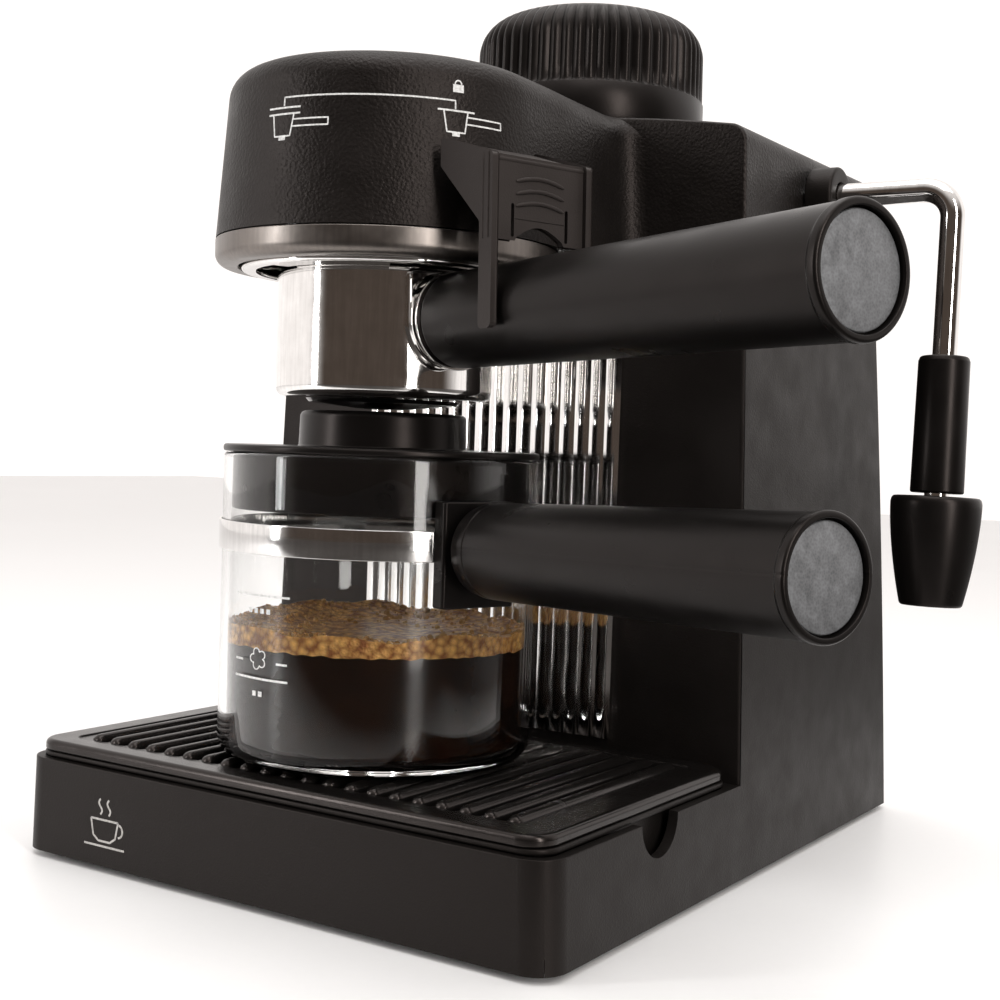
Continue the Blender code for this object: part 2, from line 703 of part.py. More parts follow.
def arc_block(inner, outer, low, high, middle, span, steps=6):
    """Piece of a flat ring around the brewing axis, centred on one angle in degrees."""
    outline = arc((0.0, BREW_Y), outer, middle - span / 2, middle + span / 2, steps)
    outline += arc((0.0, BREW_Y), inner, middle + span / 2, middle - span / 2, steps)
    return lofted([at_height(outline, low), at_height(outline, high)])


# ---- filter holder ------------------------------------------------------------------------
def filter_cup(parent, pivot):
    """Plated cup with three bayonet lugs and the boss that carries the handle."""
    centre = (0.0, BREW_Y, 0.0)
    edge = 0.0030
    outer = [(0.0, CUP_BOTTOM_Z), (CUP_RADIUS - edge, CUP_BOTTOM_Z)]
    outer += arc((CUP_RADIUS - edge, CUP_BOTTOM_Z + edge), edge, -60.0, 0.0, 2)
    outer += [(CUP_RADIUS, CUP_TOP_Z), (0.0, CUP_TOP_Z)]
    item = solid("filter_cup", turned(outer, centre, CUP_SIDES), "chrome", pivot, parent)
    lugs = [arc_block(0.0306, 0.0376, LEDGE_TOP_Z + 0.0004, CUP_TOP_Z - 0.0001, middle, LUG_SPAN, 4)
            for middle in bayonet_angles()]
    boolean(item, cutter("join_lugs", merged(*lugs)), "UNION")
    frame = handle_frame(BREW_Y, HOLDER_AXIS_Z, HOLDER_TILT)
    boss_start = 0.0250
    boss_end = 0.0340
    stud = 0.0030
    stud_end = 0.0500
    boss = turned([(0.0, boss_start), (0.0118, boss_start), (0.0112, boss_end), (stud, boss_end),
                   (stud, stud_end), (0.0, stud_end)], sides=18)
    boolean(item, cutter("join_boss", placed(boss, frame)), "UNION")
    shelf = block(0.0041, 0.0125, -0.0095, 0.0095, boss_start - 0.0010, boss_end - GAP)
    boolean(item, cutter("join_shelf", placed(shelf, frame)), "UNION")
    cavity = drill(CUP_RADIUS - CUP_WALL, CUP_BOTTOM_Z + CUP_FLOOR, CUP_TOP_Z + 0.0064, centre,
                   CUP_SIDES)
    boolean(item, cutter("cut_cup_cavity", cavity))
    outlet = drill(CUP_OUTLET, CUP_BOTTOM_Z - OVERCUT, CUP_BOTTOM_Z + 2 * OVERCUT, centre)
    boolean(item, cutter("cut_cup_outlet", outlet))


def filter_pieces(parent, pivot):
    """Coffee basket and drip spout inside and under the cup."""
    centre = (0.0, BREW_Y, 0.0)
    rim = 0.0312
    rim_low = CUP_TOP_Z + GAP
    rim_top = 0.1846
    floor = 0.1500
    metal = 0.0008
    basket = [(0.0, floor), (0.0235, floor), (0.0262, 0.1520), (0.0270, rim_low), (rim, rim_low),
              (rim, rim_top), (0.0264, rim_top), (0.0256, 0.1525), (0.0232, floor + metal),
              (0.0, floor + metal)]
    solid("filter_basket", turned(basket, centre, 24), "steel", pivot, parent)
    bore = 0.0020
    stem = CUP_OUTLET - GAP
    tip = 0.1370
    flange = CUP_BOTTOM_Z - GAP
    spout = [(bore, tip), (0.0060, tip), (0.0220, 0.1388), (0.0230, flange),
             (stem, flange), (stem, 0.1450), (bore, 0.1450)]
    solid("filter_spout", turned(spout, centre, 20), "black_gloss", pivot, parent)


def grip(name, parent, pivot, frame, start, end, start_radius, end_radius, disc_radius, bolt_start):
    """Moulded handle with a rim and recess at its end, its end disc and the bolt through it."""
    bore = 0.0034
    bevel = 0.0012
    lip = end_radius + 0.0004
    recess = end - 0.0028
    seat_radius = 0.0064
    seat = end - 0.0140
    profile = [(bore, start), (start_radius - bevel, start), (start_radius, start + bevel),
               (end_radius, end - 0.0030), (lip, end - 0.0022), (lip, end - 0.0008),
               (lip - 0.0008, end), (disc_radius + GAP, end), (disc_radius + GAP, recess),
               (seat_radius, recess), (seat_radius, seat), (bore, seat)]
    handle = solid(f"{name}_handle", placed(turned(profile), frame), "black_satin", pivot, parent)
    disc_edge = disc_radius - 0.0002
    disc = [(0.0, recess + GAP), (disc_edge, recess + GAP), (disc_edge, end - 0.0011),
            (0.0, end - 0.0008)]
    solid(f"{name}_end_disc", placed(turned(disc), frame), "silver_disc", pivot, parent)
    shank = 0.0022
    bolt = [(0.0, bolt_start), (shank, bolt_start), (shank, seat + GAP), (0.0050, seat + GAP),
            (0.0050, seat + 0.0040), (0.0, seat + 0.0040)]
    solid(f"{name}_bolt", placed(turned(bolt, sides=12), frame), "steel", pivot, parent)
    return handle


def filter_handle(parent, pivot):
    """Handle of the filter holder with its flared ferrule and two dimples for the guard."""
    frame = handle_frame(BREW_Y, HOLDER_AXIS_Z, HOLDER_TILT)
    bore = 0.0034
    ferrule = [(bore, 0.0343), (0.0118, 0.0343), (0.0136, 0.0362), (0.0139, 0.0372), (bore, 0.0372)]
    solid("handle_ferrule", placed(turned(ferrule), frame), "chrome", pivot, parent)
    handle = grip("filter", parent, pivot, frame, 0.0375, 0.180, 0.0133, 0.0145, 0.0128, 0.0503)
    reach = 0.0142
    deep = 0.0020
    half = 0.0023
    dimples = [placed(block(-half, half, side * reach - deep, side * reach + deep,
                            GUARD_T - half, GUARD_T + half), frame) for side in (-1.0, 1.0)]
    boolean(handle, cutter("cut_dimples", merged(*dimples)))


def guard_pivot():
    """Point where the guard's pivot line crosses the filter handle's axis."""
    return handle_frame(BREW_Y, HOLDER_AXIS_Z, HOLDER_TILT) @ Vector((0.0, 0.0, GUARD_T))


def thumb_guard(parent, pivot):
    """Fold-away guard: plate over the handle, hood towards the head and two pivot legs."""
    frame = handle_frame(BREW_Y, HOLDER_AXIS_Z, HOLDER_TILT)
    leg_outer = 0.0164
    leg_inner = 0.0143
    plate_low = 0.0185
    plate_high = 0.0385
    hood_rise = 0.0455
    hood_reach = GUARD_T - 0.0200
    front = GUARD_T + 0.0013
    back = GUARD_T - 0.0013
    item = solid("thumb_guard", placed(guard_plate(plate_low, plate_high, leg_outer, back, front),
                                       frame), "black_matte", pivot, parent)
    side = [(-0.0050, GUARD_T - 0.0012), (-0.0030, GUARD_T - 0.0024),
            (plate_low + 0.0035, GUARD_T - 0.0024), (hood_rise - 0.0070, hood_reach),
            (hood_rise, hood_reach), (plate_high, GUARD_T + 0.0022),
            (-0.0030, GUARD_T + 0.0024), (-0.0050, GUARD_T + 0.0012)]
    cheeks = []
    for sign in (-1.0, 1.0):
        rings = [[(x, sign * y, z) for x, z in side] for y in (leg_inner, leg_outer)]
        cheeks.append(placed(lofted(rings), frame))
    boolean(item, cutter("join_cheeks", merged(*cheeks)), "UNION")
    hood = [(plate_high - 0.0022, front - 0.0004), (plate_high - 0.0001, front + 0.0007),
            (hood_rise - 0.0001, hood_reach + 0.0001), (hood_rise - 0.0022, hood_reach + 0.0001)]
    rings = [[(x, y, z) for x, z in hood] for y in (-leg_outer + 0.0001, leg_outer - 0.0001)]
    boolean(item, cutter("join_hood", placed(lofted(rings), frame)), "UNION")
    stubs = [placed(block(-0.0014, 0.0014, min(sign * 0.0126, sign * 0.0150),
                          max(sign * 0.0126, sign * 0.0150), GUARD_T - 0.0014, GUARD_T + 0.0014),
                    frame) for sign in (-1.0, 1.0)]
    boolean(item, cutter("join_stubs", merged(*stubs)), "UNION")


def guard_plate(low, high, half_span, back, front):
    """Upright plate with an arch along its lower edge."""
    arch = [(low + 0.0020 * math.cos(0.5 * math.pi * y / 0.0075), y)
            for y in np.linspace(-0.0075, 0.0075, 7)]
    outline = [(high, -half_span + 0.0002), (low, -half_span + 0.0002)] + arch
    outline += [(low, half_span - 0.0002), (high, half_span - 0.0002)]
    return lofted([[(x, y, z) for x, y in outline] for z in (back, front)])


# ---- jug ----------------------------------------------------------------------------------
def jug_ring(radius, height, lip, sides=JUG_SIDES):
    """Level ring of the jug, pulled out towards the pouring lip."""
    ring = []
    lip_angle = HOLDER_ANGLE + math.pi
    for step in range(sides):
        angle = 2.0 * math.pi * step / sides
        away = (angle - lip_angle + math.pi) % (2.0 * math.pi) - math.pi
        reach = radius + lip * math.exp(-(away / 0.22) ** 2)
        ring.append((reach * math.cos(angle), JUG_Y + reach * math.sin(angle), height))
    return ring


def jug_glass(parent, pivot):
    """Straight-sided glass jug with a rounded foot and a small pouring lip."""
    inner = JUG_RADIUS - JUG_WALL
    foot = 0.005
    base = 0.0028
    rings = [jug_ring(JUG_RADIUS - foot, JUG_BOTTOM_Z, 0.0)]
    for x, z in arc((JUG_RADIUS - foot, JUG_BOTTOM_Z + foot), foot, -60.0, 0.0, 2):
        rings.append(jug_ring(x, z, 0.0))
    rings += [jug_ring(JUG_RADIUS, LIP_START_Z, 0.0), jug_ring(JUG_RADIUS, LIP_HALF_Z, LIP_HALF),
              jug_ring(JUG_RADIUS, JUG_TOP_Z, LIP_FULL), jug_ring(inner, JUG_TOP_Z, LIP_FULL),
              jug_ring(inner, LIP_HALF_Z, LIP_HALF), jug_ring(inner, LIP_START_Z, 0.0),
              jug_ring(inner, JUG_BOTTOM_Z + foot, 0.0),
              jug_ring(JUG_RADIUS - foot, JUG_BOTTOM_Z + base, 0.0)]
    solid("jug_glass", lofted(rings), "glass", pivot, parent)


def jug_lid(parent, pivot):
    """Lid with a plug skirt, a raised knob and a hole that lets the coffee through."""
    under = JUG_TOP_Z + GAP
    skirt = 0.0439
    skirt_inner = 0.0420
    skirt_low = 0.1070
    top = 0.1255
    edge = 0.0005
    knob_top = 0.1360
    profile = [(LID_HOLE_RADIUS, 0.1215), (skirt_inner, 0.1215), (skirt_inner, skirt_low),
               (skirt, skirt_low), (skirt, under), (LID_RADIUS - edge, under),
               (LID_RADIUS, under + edge), (LID_RADIUS, top - edge), (LID_RADIUS - edge, top),
               (LID_KNOB_RADIUS, top), (LID_KNOB_RADIUS, knob_top - 0.0018),
               (LID_KNOB_RADIUS - 0.0018, knob_top), (0.0210, knob_top), (LID_HOLE_RADIUS, 0.1330)]
    solid("jug_lid", turned(profile, (0.0, JUG_Y, 0.0), JUG_SIDES), "black_gloss", pivot, parent)


def jug_pieces(parent, pivot):
    """Steel strap, bracket pad and handle of the jug."""
    centre = (0.0, JUG_Y, 0.0)
    low = STRAP_MID_Z - STRAP_WIDTH / 2
    high = STRAP_MID_Z + STRAP_WIDTH / 2
    strap = [(JUG_RADIUS + GAP, low), (0.0474, low), (0.0474, high), (JUG_RADIUS + GAP, high)]
    solid("jug_strap", turned(strap, centre, JUG_SIDES), "steel", pivot, parent)
    frame = handle_frame(JUG_Y, JUG_AXIS_Z, JUG_TILT)
    angle = math.degrees(HOLDER_ANGLE)
    half = 0.012
    reach = 0.0508
    spread = math.degrees(math.asin(half / 0.048))
    outline = arc((0.0, JUG_Y), 0.0478, angle - spread, angle + spread, 4)
    outline += [(x * math.cos(HOLDER_ANGLE) - y * math.sin(HOLDER_ANGLE),
                 JUG_Y + x * math.sin(HOLDER_ANGLE) + y * math.cos(HOLDER_ANGLE))
                for x, y in ((reach, half), (reach, -half))]
    pad = solid("jug_bracket", lofted([at_height(outline, PAD_LOW_Z), at_height(outline, PAD_TOP_Z)]),
                "black_satin", pivot, parent)
    boolean(pad, cutter("cut_bracket_hole", placed(drill(0.0026, 0.040, 0.060, sides=12), frame)))
    grip("jug", parent, pivot, frame, 0.0519, 0.174, 0.0130, 0.01375, 0.0122, 0.0495)


# ---- boiler and cap -----------------------------------------------------------------------
def boiler_pieces(root):
    """Boiler pot, dome and filler neck, with the ring nut that holds them to the roof."""
    centre = (0.0, BOILER_Y, 0.0)
    bottom = 0.1280
    floor = bottom + 0.0025
    pot = [(0.0, bottom), (0.0330, bottom), (BOILER_RADIUS, 0.1310), (BOILER_RADIUS, BOILER_SEAM_Z),
           (BOILER_INNER, BOILER_SEAM_Z), (BOILER_INNER, 0.1322), (0.0320, floor), (0.0, floor)]
    solid("boiler", turned(pot, centre, 24), "aluminium", parent=root)
    seam = BOILER_SEAM_Z + GAP
    dome = [(BOILER_INNER, seam), (BOILER_RADIUS, seam), (BOILER_RADIUS, 0.2140), (0.0280, 0.2210),
            (NECK_RADIUS, DOME_TOP_Z), (NECK_BORE, DOME_TOP_Z), (NECK_BORE, DOME_TOP_Z - 0.0020),
            (0.0268, 0.2184), (BOILER_INNER, 0.2128)]
    solid("boiler_dome", turned(dome, centre, 24), "aluminium", parent=root)
    neck_low = DOME_TOP_Z + GAP
    neck = [(NECK_BORE, neck_low), (NECK_RADIUS, neck_low), (NECK_RADIUS, NECK_TOP_Z),
            (NECK_BORE, NECK_TOP_Z)]
    solid("filler_neck", turned(neck, centre, 24), "aluminium", parent=root)
    nut_low = 0.2337
    nut_top = 0.2375
    nut = [(0.0224, nut_low), (0.0300, nut_low), (0.0300, nut_top), (0.0224, nut_top)]
    solid("neck_nut", turned(nut, centre, 24), "brass", parent=root)


def heater_pieces(root):
    """Ring heater under the boiler, its steel bracket, thermostat and thermal fuse."""
    bore = 0.0220
    heater_low = 0.1165
    heater_top = 0.1275
    heater = [(bore, heater_low), (0.0330, heater_low), (0.0340, heater_low + 0.0015),
              (0.0340, heater_top), (bore, heater_top)]
    solid("heating_element", turned(heater, (0.0, BOILER_Y, 0.0), ROUND), "aluminium", parent=root)
    outer = 0.052
    inner = 0.050
    low = HOLLOW_LOW_Z
    top = heater_low - GAP
    bracket = [(-outer, low), (-inner, low), (-inner, top - 0.002), (inner, top - 0.002),
               (inner, low), (outer, low), (outer, top), (-outer, top)]
    rings = [[(x, y, z) for x, z in bracket] for y in (BOILER_Y - outer / 2 - 0.001, 0.194)]
    solid("boiler_bracket", lofted(rings), "steel", parent=root)
    front = BOILER_Y - BOILER_RADIUS - GAP
    mount_z = 0.160
    body = 0.0075
    neck = 0.0045
    thermostat = [(0.0, 0.0), (body, 0.0), (body, 0.0050), (neck, 0.0050), (neck, 0.0075),
                  (0.0, 0.0075)]
    solid("thermostat", placed(turned(thermostat, sides=20),
                               axis_frame((0.0, front, mount_z), (0.0, -1.0, 0.0))), "steel",
          parent=root)
    beside = (BOILER_RADIUS + 0.0026, BOILER_Y, mount_z)
    fuse = drill(0.0021, -0.008, 0.008, sides=12)
    solid("thermal_fuse", placed(fuse, axis_frame(beside, (0.0, 1.0, 0.0))), "steel", parent=root)


def boiler_cap(parent, pivot):
    """Ribbed screw cap with a hollow skirt and a threaded plug in the boiler neck."""
    rib = 0.0011
    sides = 2 * CAP_RIBS
    shoulder = 0.0125
    bore = 0.0031

    def ring(radius, height, depth):
        points = []
        for step in range(sides):
            angle = 2.0 * math.pi * step / sides
            reach = radius - depth * (step % 2)
            points.append((reach * math.cos(angle), BOILER_Y + reach * math.sin(angle), height))
        return points

    rings = [ring(CAP_RADIUS, 0.2345, 0.0), ring(CAP_RADIUS, 0.2500, 0.0),
             ring(CAP_RADIUS - 0.0004, 0.2508, rib)]
    centre = (CAP_RADIUS - 0.0006 - shoulder, CAP_TOP_Z - shoulder)
    for radius, height in arc(centre, shoulder, 0.0, 90.0, 3):
        fade = rib if height < CAP_TOP_Z - 0.0005 else 0.0
        rings.append(ring(radius, height, fade))
    item = solid("boiler_cap", lofted(rings), "black_satin", pivot, parent)
    hollow = [(0.0, 0.2300), (0.0378, 0.2300), (0.0370, 0.2700), (0.0181, 0.2720),
              (0.0181, PLUG_BOTTOM_Z), (0.0, PLUG_BOTTOM_Z)]
    boolean(item, cutter("cut_cap_hollow", turned(hollow, (0.0, BOILER_Y, 0.0))))
    valve_hole = [(0.0, 0.2380), (bore, 0.2380), (bore, 0.2742), (0.0054, 0.2748),
                  (0.0054, 0.2800), (0.0, 0.2800)]
    boolean(item, cutter("cut_valve_hole", turned(valve_hole, (0.0, BOILER_Y, 0.0), 16)))
    valve = [(0.0, PLUG_BOTTOM_Z + 0.0005), (0.0027, PLUG_BOTTOM_Z + 0.0005), (0.0027, 0.2742),
             (0.0050, 0.2753), (0.0050, 0.2768), (0.0, 0.2775)]
    solid("safety_valve", turned(valve, (0.0, BOILER_Y, 0.0), 16), "brass", pivot, parent)


def cap_gasket(parent, pivot):
    """Seal between the neck rim and the cap."""
    seal = [(0.0185, NECK_TOP_Z + GAP), (0.0218, NECK_TOP_Z + GAP), (0.0218, 0.2545),
            (0.0185, 0.2545)]
    solid("cap_gasket", turned(seal, (0.0, BOILER_Y, 0.0), 28), "rubber", pivot, parent)


# ---- steam side ---------------------------------------------------------------------------
def steam_pieces(root):
    """Valve block on the boiler with the pipes to the brewing head and to the wand."""
    valve = block(-0.0720, -0.0364, BOILER_Y - 0.0070, BOILER_Y + 0.0070, 0.1990, 0.2135)
    solid("steam_valve", valve, "brass", parent=root)
    brew = smooth_route([(-0.058, 0.1565, 0.2060), (-0.056, 0.1380, 0.2070), (-0.034, 0.1120, 0.2080),
                         (-0.009, 0.0700, 0.2080), (0.0, 0.0530, 0.2010), (0.0, BREW_Y, 0.1885)])
    solid("brew_pipe", swept(brew, 0.0025, 6), "steel", parent=root)
    steam = smooth_route([(-0.060, 0.1770, 0.2060), (-0.055, 0.1950, 0.2070), (-0.028, 0.2100, 0.2080),
                          (0.028, 0.2100, 0.2080), (0.055, 0.1930, 0.2090), (0.068, 0.170, 0.2110),
                          (0.0735, WAND_Y, WAND_Z)])
    solid("steam_pipe", swept(steam, 0.0025, 6), "steel", parent=root)
    across = axis_frame((0.0, WAND_Y, WAND_Z), (1.0, 0.0, 0.0))
    wall = half_width(WAND_Z - 0.010)
    collar = [(0.0042, wall + GAP), (0.0092, wall + GAP), (0.0092, 0.0965), (0.0084, 0.0973),
              (0.0042, 0.0973)]
    solid("wand_collar", placed(turned(collar, sides=28), across), "black_textured", parent=root)


def wand_frame():
    """Frame of the wand: origin on its swivel axis, local Z down along the leaning tube."""
    down = (0.0, -math.sin(WAND_LEAN), -math.cos(WAND_LEAN))
    return axis_frame((WAND_X, WAND_Y, WAND_Z), down)


def steam_wand(parent, pivot):
    """Bent steam tube with its heat-proof sleeve."""
    down = Vector((0.0, -math.sin(WAND_LEAN), -math.cos(WAND_LEAN)))
    across = Vector((1.0, 0.0, 0.0))
    corner = Vector((WAND_X, WAND_Y, WAND_Z))
    centre = corner - across * WAND_BEND + down * WAND_BEND
    path = [Vector((0.0765, WAND_Y, WAND_Z))]
    for angle in np.linspace(0.0, math.pi / 2, 7):
        path.append(centre + across * WAND_BEND * math.sin(angle) - down * WAND_BEND * math.cos(angle))
    path.append(corner + down * 0.1100)
    solid("steam_tube", swept(path, WAND_TUBE_RADIUS, 14), "chrome", pivot, parent)
    sleeve = [(0.0041, 0.0520), (0.0070, 0.0520), (0.0078, 0.0528), (0.0081, 0.0943),
              (0.0041, 0.0943)]
    solid("wand_sleeve", placed(turned(sleeve, sides=20), wand_frame()), "black_gloss", pivot, parent)


def froth_nozzle(parent, pivot):
    """Pull-off froth nozzle, wide at its shoulder and open below."""
    shoulder = 0.0953
    end = 0.1291
    outer = []
    for share in np.linspace(0.0, 1.0, 6):
        radius = 0.01375 - (0.01375 - 0.0096) * share ** 1.7
        outer.append((radius, shoulder + 0.0022 + (end - shoulder - 0.0030) * share))
    profile = [(0.0041, shoulder), (0.0122, shoulder), (0.0132, shoulder + 0.0008)] + outer
    profile += [(0.0088, end), (0.0070, end), (0.0070, end - 0.0160), (0.0041, end - 0.0170)]
    solid("froth_nozzle", placed(turned(profile, sides=24), wand_frame()), "black_gloss", pivot, parent)


def selector(parent, pivot):
    """Steam and brew selector knob with a grip bar, and its shaft to the valve."""
    frame = axis_frame((0.0, KNOB_Y, KNOB_Z), (-1.0, 0.0, 0.0))
    wall = half_width(KNOB_Z - 0.017) + GAP
    knob = [(0.0, wall), (0.0160, wall), (0.0160, wall + 0.0060), (0.0148, wall + 0.0072),
            (0.0, wall + 0.0072)]
    item = solid("selector_knob", placed(turned(knob, sides=32), frame), "black_satin", pivot, parent)
    bar = block(-0.0150, 0.0150, -0.0032, 0.0032, wall + 0.0060, wall + 0.0165)
    boolean(item, cutter("join_grip_bar", placed(bar, frame)), "UNION")
    shaft = [(0.0, 0.0723), (0.0030, 0.0723), (0.0030, wall - GAP), (0.0, wall - GAP)]
    solid("selector_shaft", placed(turned(shaft, sides=16), frame), "steel", pivot, parent)


# ---- electrical pieces --------------------------------------------------------------------
def switch_pieces(root):
    """Switch body with its frame in the left side, pilot lamp and cord inlet bush."""
    frame = axis_frame((0.0, SWITCH_Y, SWITCH_Z), (-1.0, 0.0, 0.0))
    face = half_width(SWITCH_Z - 0.009) + GAP
    sizes = ((0.0072, 0.0117, face - 0.0180), (0.0072, 0.0117, face), (0.0090, 0.0138, face),
             (0.0086, 0.0134, face + 0.0014), (0.0060, 0.0104, face + 0.0014),
             (0.0060, 0.0104, face - 0.0150))
    rings = [[(x, y, z) for x, y in rounded_rectangle(-a, a, -b, b, 0.001, 2)] for a, b, z in sizes]
    solid("switch_body", placed(lofted(rings), frame), "black_gloss", parent=root)
    lamp = axis_frame((0.0, SWITCH_Y, LAMP_Z), (-1.0, 0.0, 0.0))
    out = half_width(LAMP_Z - 0.005) + GAP
    lens = [(0.0, out - 0.0060), (0.0031, out - 0.0060), (0.0031, out), (0.0042, out),
            (0.0040, out + 0.0010), (0.0022, out + 0.0018), (0.0, out + 0.0020)]
    solid("pilot_lens", placed(turned(lens, sides=20), lamp), "red_lens", parent=root)
    inlet = axis_frame((GLAND_X, 0.0, GLAND_Z), (0.0, 1.0, 0.0))
    back = rear(GLAND_Z - 0.009) + GAP
    bush = [(0.0035, back - 0.0080), (0.0059, back - 0.0080), (0.0059, back), (0.0085, back),
            (0.0085, back + 0.0020), (0.0060, back + 0.0060), (0.0035, back + 0.0060)]
    solid("cord_bush", placed(turned(bush, sides=18), inlet), "rubber", parent=root)


def rocker(parent, pivot):
    """Rocker of the mains switch, drawn in its off position."""
    face = half_width(SWITCH_Z - 0.009) + GAP
    off = math.radians(-7.0)
    outline = arc((0.0, 0.0), 0.0098, 200.0, 340.0, 8) + [(0.0098, 0.0035), (0.0, 0.0022),
                                                          (-0.0098, 0.0035)]
    turned_outline = [(y * math.cos(off) - x * math.sin(off), y * math.sin(off) + x * math.cos(off))
                      for y, x in outline]
    rings = [[(-(face - 0.0015 + x), SWITCH_Y + y, z) for y, x in turned_outline]
             for z in (SWITCH_Z - 0.0056, SWITCH_Z + 0.0056)]
    solid("power_rocker", lofted(rings), "black_gloss", pivot, parent)


# ---- assembly -----------------------------------------------------------------------------
def joint_empty(name, location, root):
    """Empty on a joint axis, which carries the pieces that move together."""
    empty = bpy.data.objects.new(name, None)
    bpy.context.scene.collection.objects.link(empty)
    empty.parent = root
    empty.location = location
    return empty


def centre_footprint(root):
    """Put the middle of the machine's footprint, at foot level, on the world origin."""
    bpy.context.view_layer.update()
    graph = bpy.context.evaluated_depsgraph_get()
    corners = []
    for item in bpy.data.objects:
        if item.type == "MESH" and not item.hide_render:
            shape = item.evaluated_get(graph)
            corners.extend([shape.matrix_world @ vert.co for vert in shape.data.vertices])
    low = [min(corner[axis] for corner in corners) for axis in range(3)]
    high = [max(corner[axis] for corner in corners) for axis in range(3)]
    root.location = (-(low[0] + high[0]) / 2, -(low[1] + high[1]) / 2, -low[2])


def build_machine():
    """Model every piece and put the machine on its origin."""
    clear_scene()
    root = bpy.data.objects.new("machine_root", None)
    bpy.context.scene.collection.objects.link(root)
    main_housing(root)
    top_housing(root)
    base_plate(root)
    feet_and_screws(root)
    front_panel(root)
    drip_tray(root)
    drip_grille(root)
    group_pieces(root)
    boiler_pieces(root)
    heater_pieces(root)
    steam_pieces(root)
    switch_pieces(root)
    holder = joint_empty("filter_holder_axis", (0.0, BREW_Y, HOLDER_AXIS_Z), root)
    filter_cup(holder, holder.location)
    filter_pieces(holder, holder.location)
    filter_handle(holder, holder.location)
    guard = joint_empty("thumb_guard_axis", guard_pivot(), root)
    thumb_guard(guard, guard.location)
    jug = joint_empty("jug_axis", (0.0, JUG_Y, JUG_BOTTOM_Z), root)
    jug_glass(jug, jug.location)
    jug_pieces(jug, jug.location)
    jug_lid(jug, jug.location)
    cap = joint_empty("boiler_cap_axis", (0.0, BOILER_Y, PLUG_BOTTOM_Z), root)
    boiler_cap(cap, cap.location)
    cap_gasket(cap, cap.location)
    wand = joint_empty("steam_wand_axis", (WAND_X, WAND_Y, WAND_Z), root)
    steam_wand(wand, wand.location)
    froth_nozzle(wand, wand.location)
    knob = joint_empty("selector_axis", (-BASE_HALF_WIDTH, KNOB_Y, KNOB_Z), root)
    selector(knob, knob.location)
    switch = joint_empty("rocker_axis", (-half_width(SWITCH_Z) + 0.0015, SWITCH_Y, SWITCH_Z), root)
    rocker(switch, switch.location)
    centre_footprint(root)


build_machine()
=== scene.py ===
# %% [markdown]
# # Steam espresso machine: the look
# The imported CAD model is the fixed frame. This notebook-style script dresses it: every visible
# moulding, plated part and pane of glass gets a fine surface and a procedural material. Shapes are
# drawn in the machine's drawing frame (metres, X = 0 on the body's middle, Y = 0 on the front of the
# base, Z = 0 on the housing's lower edge) and moved onto the frame in one step.

# %% load the frame
import json
import math

import bmesh
import bpy
import numpy as np
from mathutils import Matrix, Vector

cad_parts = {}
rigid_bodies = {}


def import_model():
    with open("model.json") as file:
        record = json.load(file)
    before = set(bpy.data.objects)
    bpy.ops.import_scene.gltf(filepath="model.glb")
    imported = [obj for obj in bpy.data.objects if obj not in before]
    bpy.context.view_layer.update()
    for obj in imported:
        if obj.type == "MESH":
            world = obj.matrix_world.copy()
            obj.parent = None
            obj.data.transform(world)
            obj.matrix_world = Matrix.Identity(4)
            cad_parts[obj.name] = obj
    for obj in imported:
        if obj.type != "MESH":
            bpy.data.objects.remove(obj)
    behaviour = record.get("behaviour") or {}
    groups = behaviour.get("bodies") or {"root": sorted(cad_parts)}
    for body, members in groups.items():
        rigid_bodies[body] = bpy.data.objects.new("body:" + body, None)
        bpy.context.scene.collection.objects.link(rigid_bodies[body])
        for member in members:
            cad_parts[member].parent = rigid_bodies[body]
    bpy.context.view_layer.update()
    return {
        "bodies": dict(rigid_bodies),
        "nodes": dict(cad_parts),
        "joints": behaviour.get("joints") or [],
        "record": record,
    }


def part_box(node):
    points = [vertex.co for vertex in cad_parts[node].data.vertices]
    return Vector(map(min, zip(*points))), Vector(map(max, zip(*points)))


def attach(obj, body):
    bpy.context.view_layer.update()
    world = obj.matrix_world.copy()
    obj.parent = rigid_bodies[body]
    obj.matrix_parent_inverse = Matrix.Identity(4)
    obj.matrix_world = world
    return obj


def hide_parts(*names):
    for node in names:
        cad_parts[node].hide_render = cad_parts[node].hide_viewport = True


for leftover in list(bpy.data.objects):
    bpy.data.objects.remove(leftover, do_unlink=True)
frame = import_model()

# %% [markdown]
# ## Where things are
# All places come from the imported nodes. The drawing frame's origin is the middle of the main
# housing's front lower edge, so one vector carries every drawn point onto the frame. The other
# driving sizes are read off the boxes of the nodes that the pieces stand for.

# %% driving sizes
LOW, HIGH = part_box("main_housing")
ORIGIN = np.array([(LOW.x + HIGH.x) / 2, LOW.y, LOW.z])


def drawn_box(node):
    """Low and high corner of a CAD node, in the drawing frame."""
    low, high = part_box(node)
    return np.array(low) - ORIGIN, np.array(high) - ORIGIN


BASE_HALF_WIDTH = drawn_box("main_housing")[1][0]
SIDE_DRAFT = 0.034
REAR_BOTTOM_Y = 0.2422
REAR_SLOPE = 0.0367
REAR_CURVE = 0.25
BASE_RIM_Z = 0.0284
COLUMN_FRONT_Y = 0.110
SEAM_Z = drawn_box("top_housing")[0][2]
ROOF_MID_Z = 0.2330
ROOF_CROWN = 0.0080
ROOF_HALF_WIDTH = 0.088
WALL = 0.0026
HEAD_RADIUS = 0.0503
HEAD_TOP_RADIUS = 0.0469
HEAD_TOP_Z = 0.2326
HEAD_EDGE = 0.0075
HEAD_FILLET = 0.0065
BREW_Y = (drawn_box("group_ring")[0][1] + drawn_box("group_ring")[1][1]) / 2
JUG_LOW, JUG_HIGH = drawn_box("jug_strap")
JUG_Y = (JUG_LOW[1] + JUG_HIGH[1]) / 2
JUG_RADIUS = 0.0465
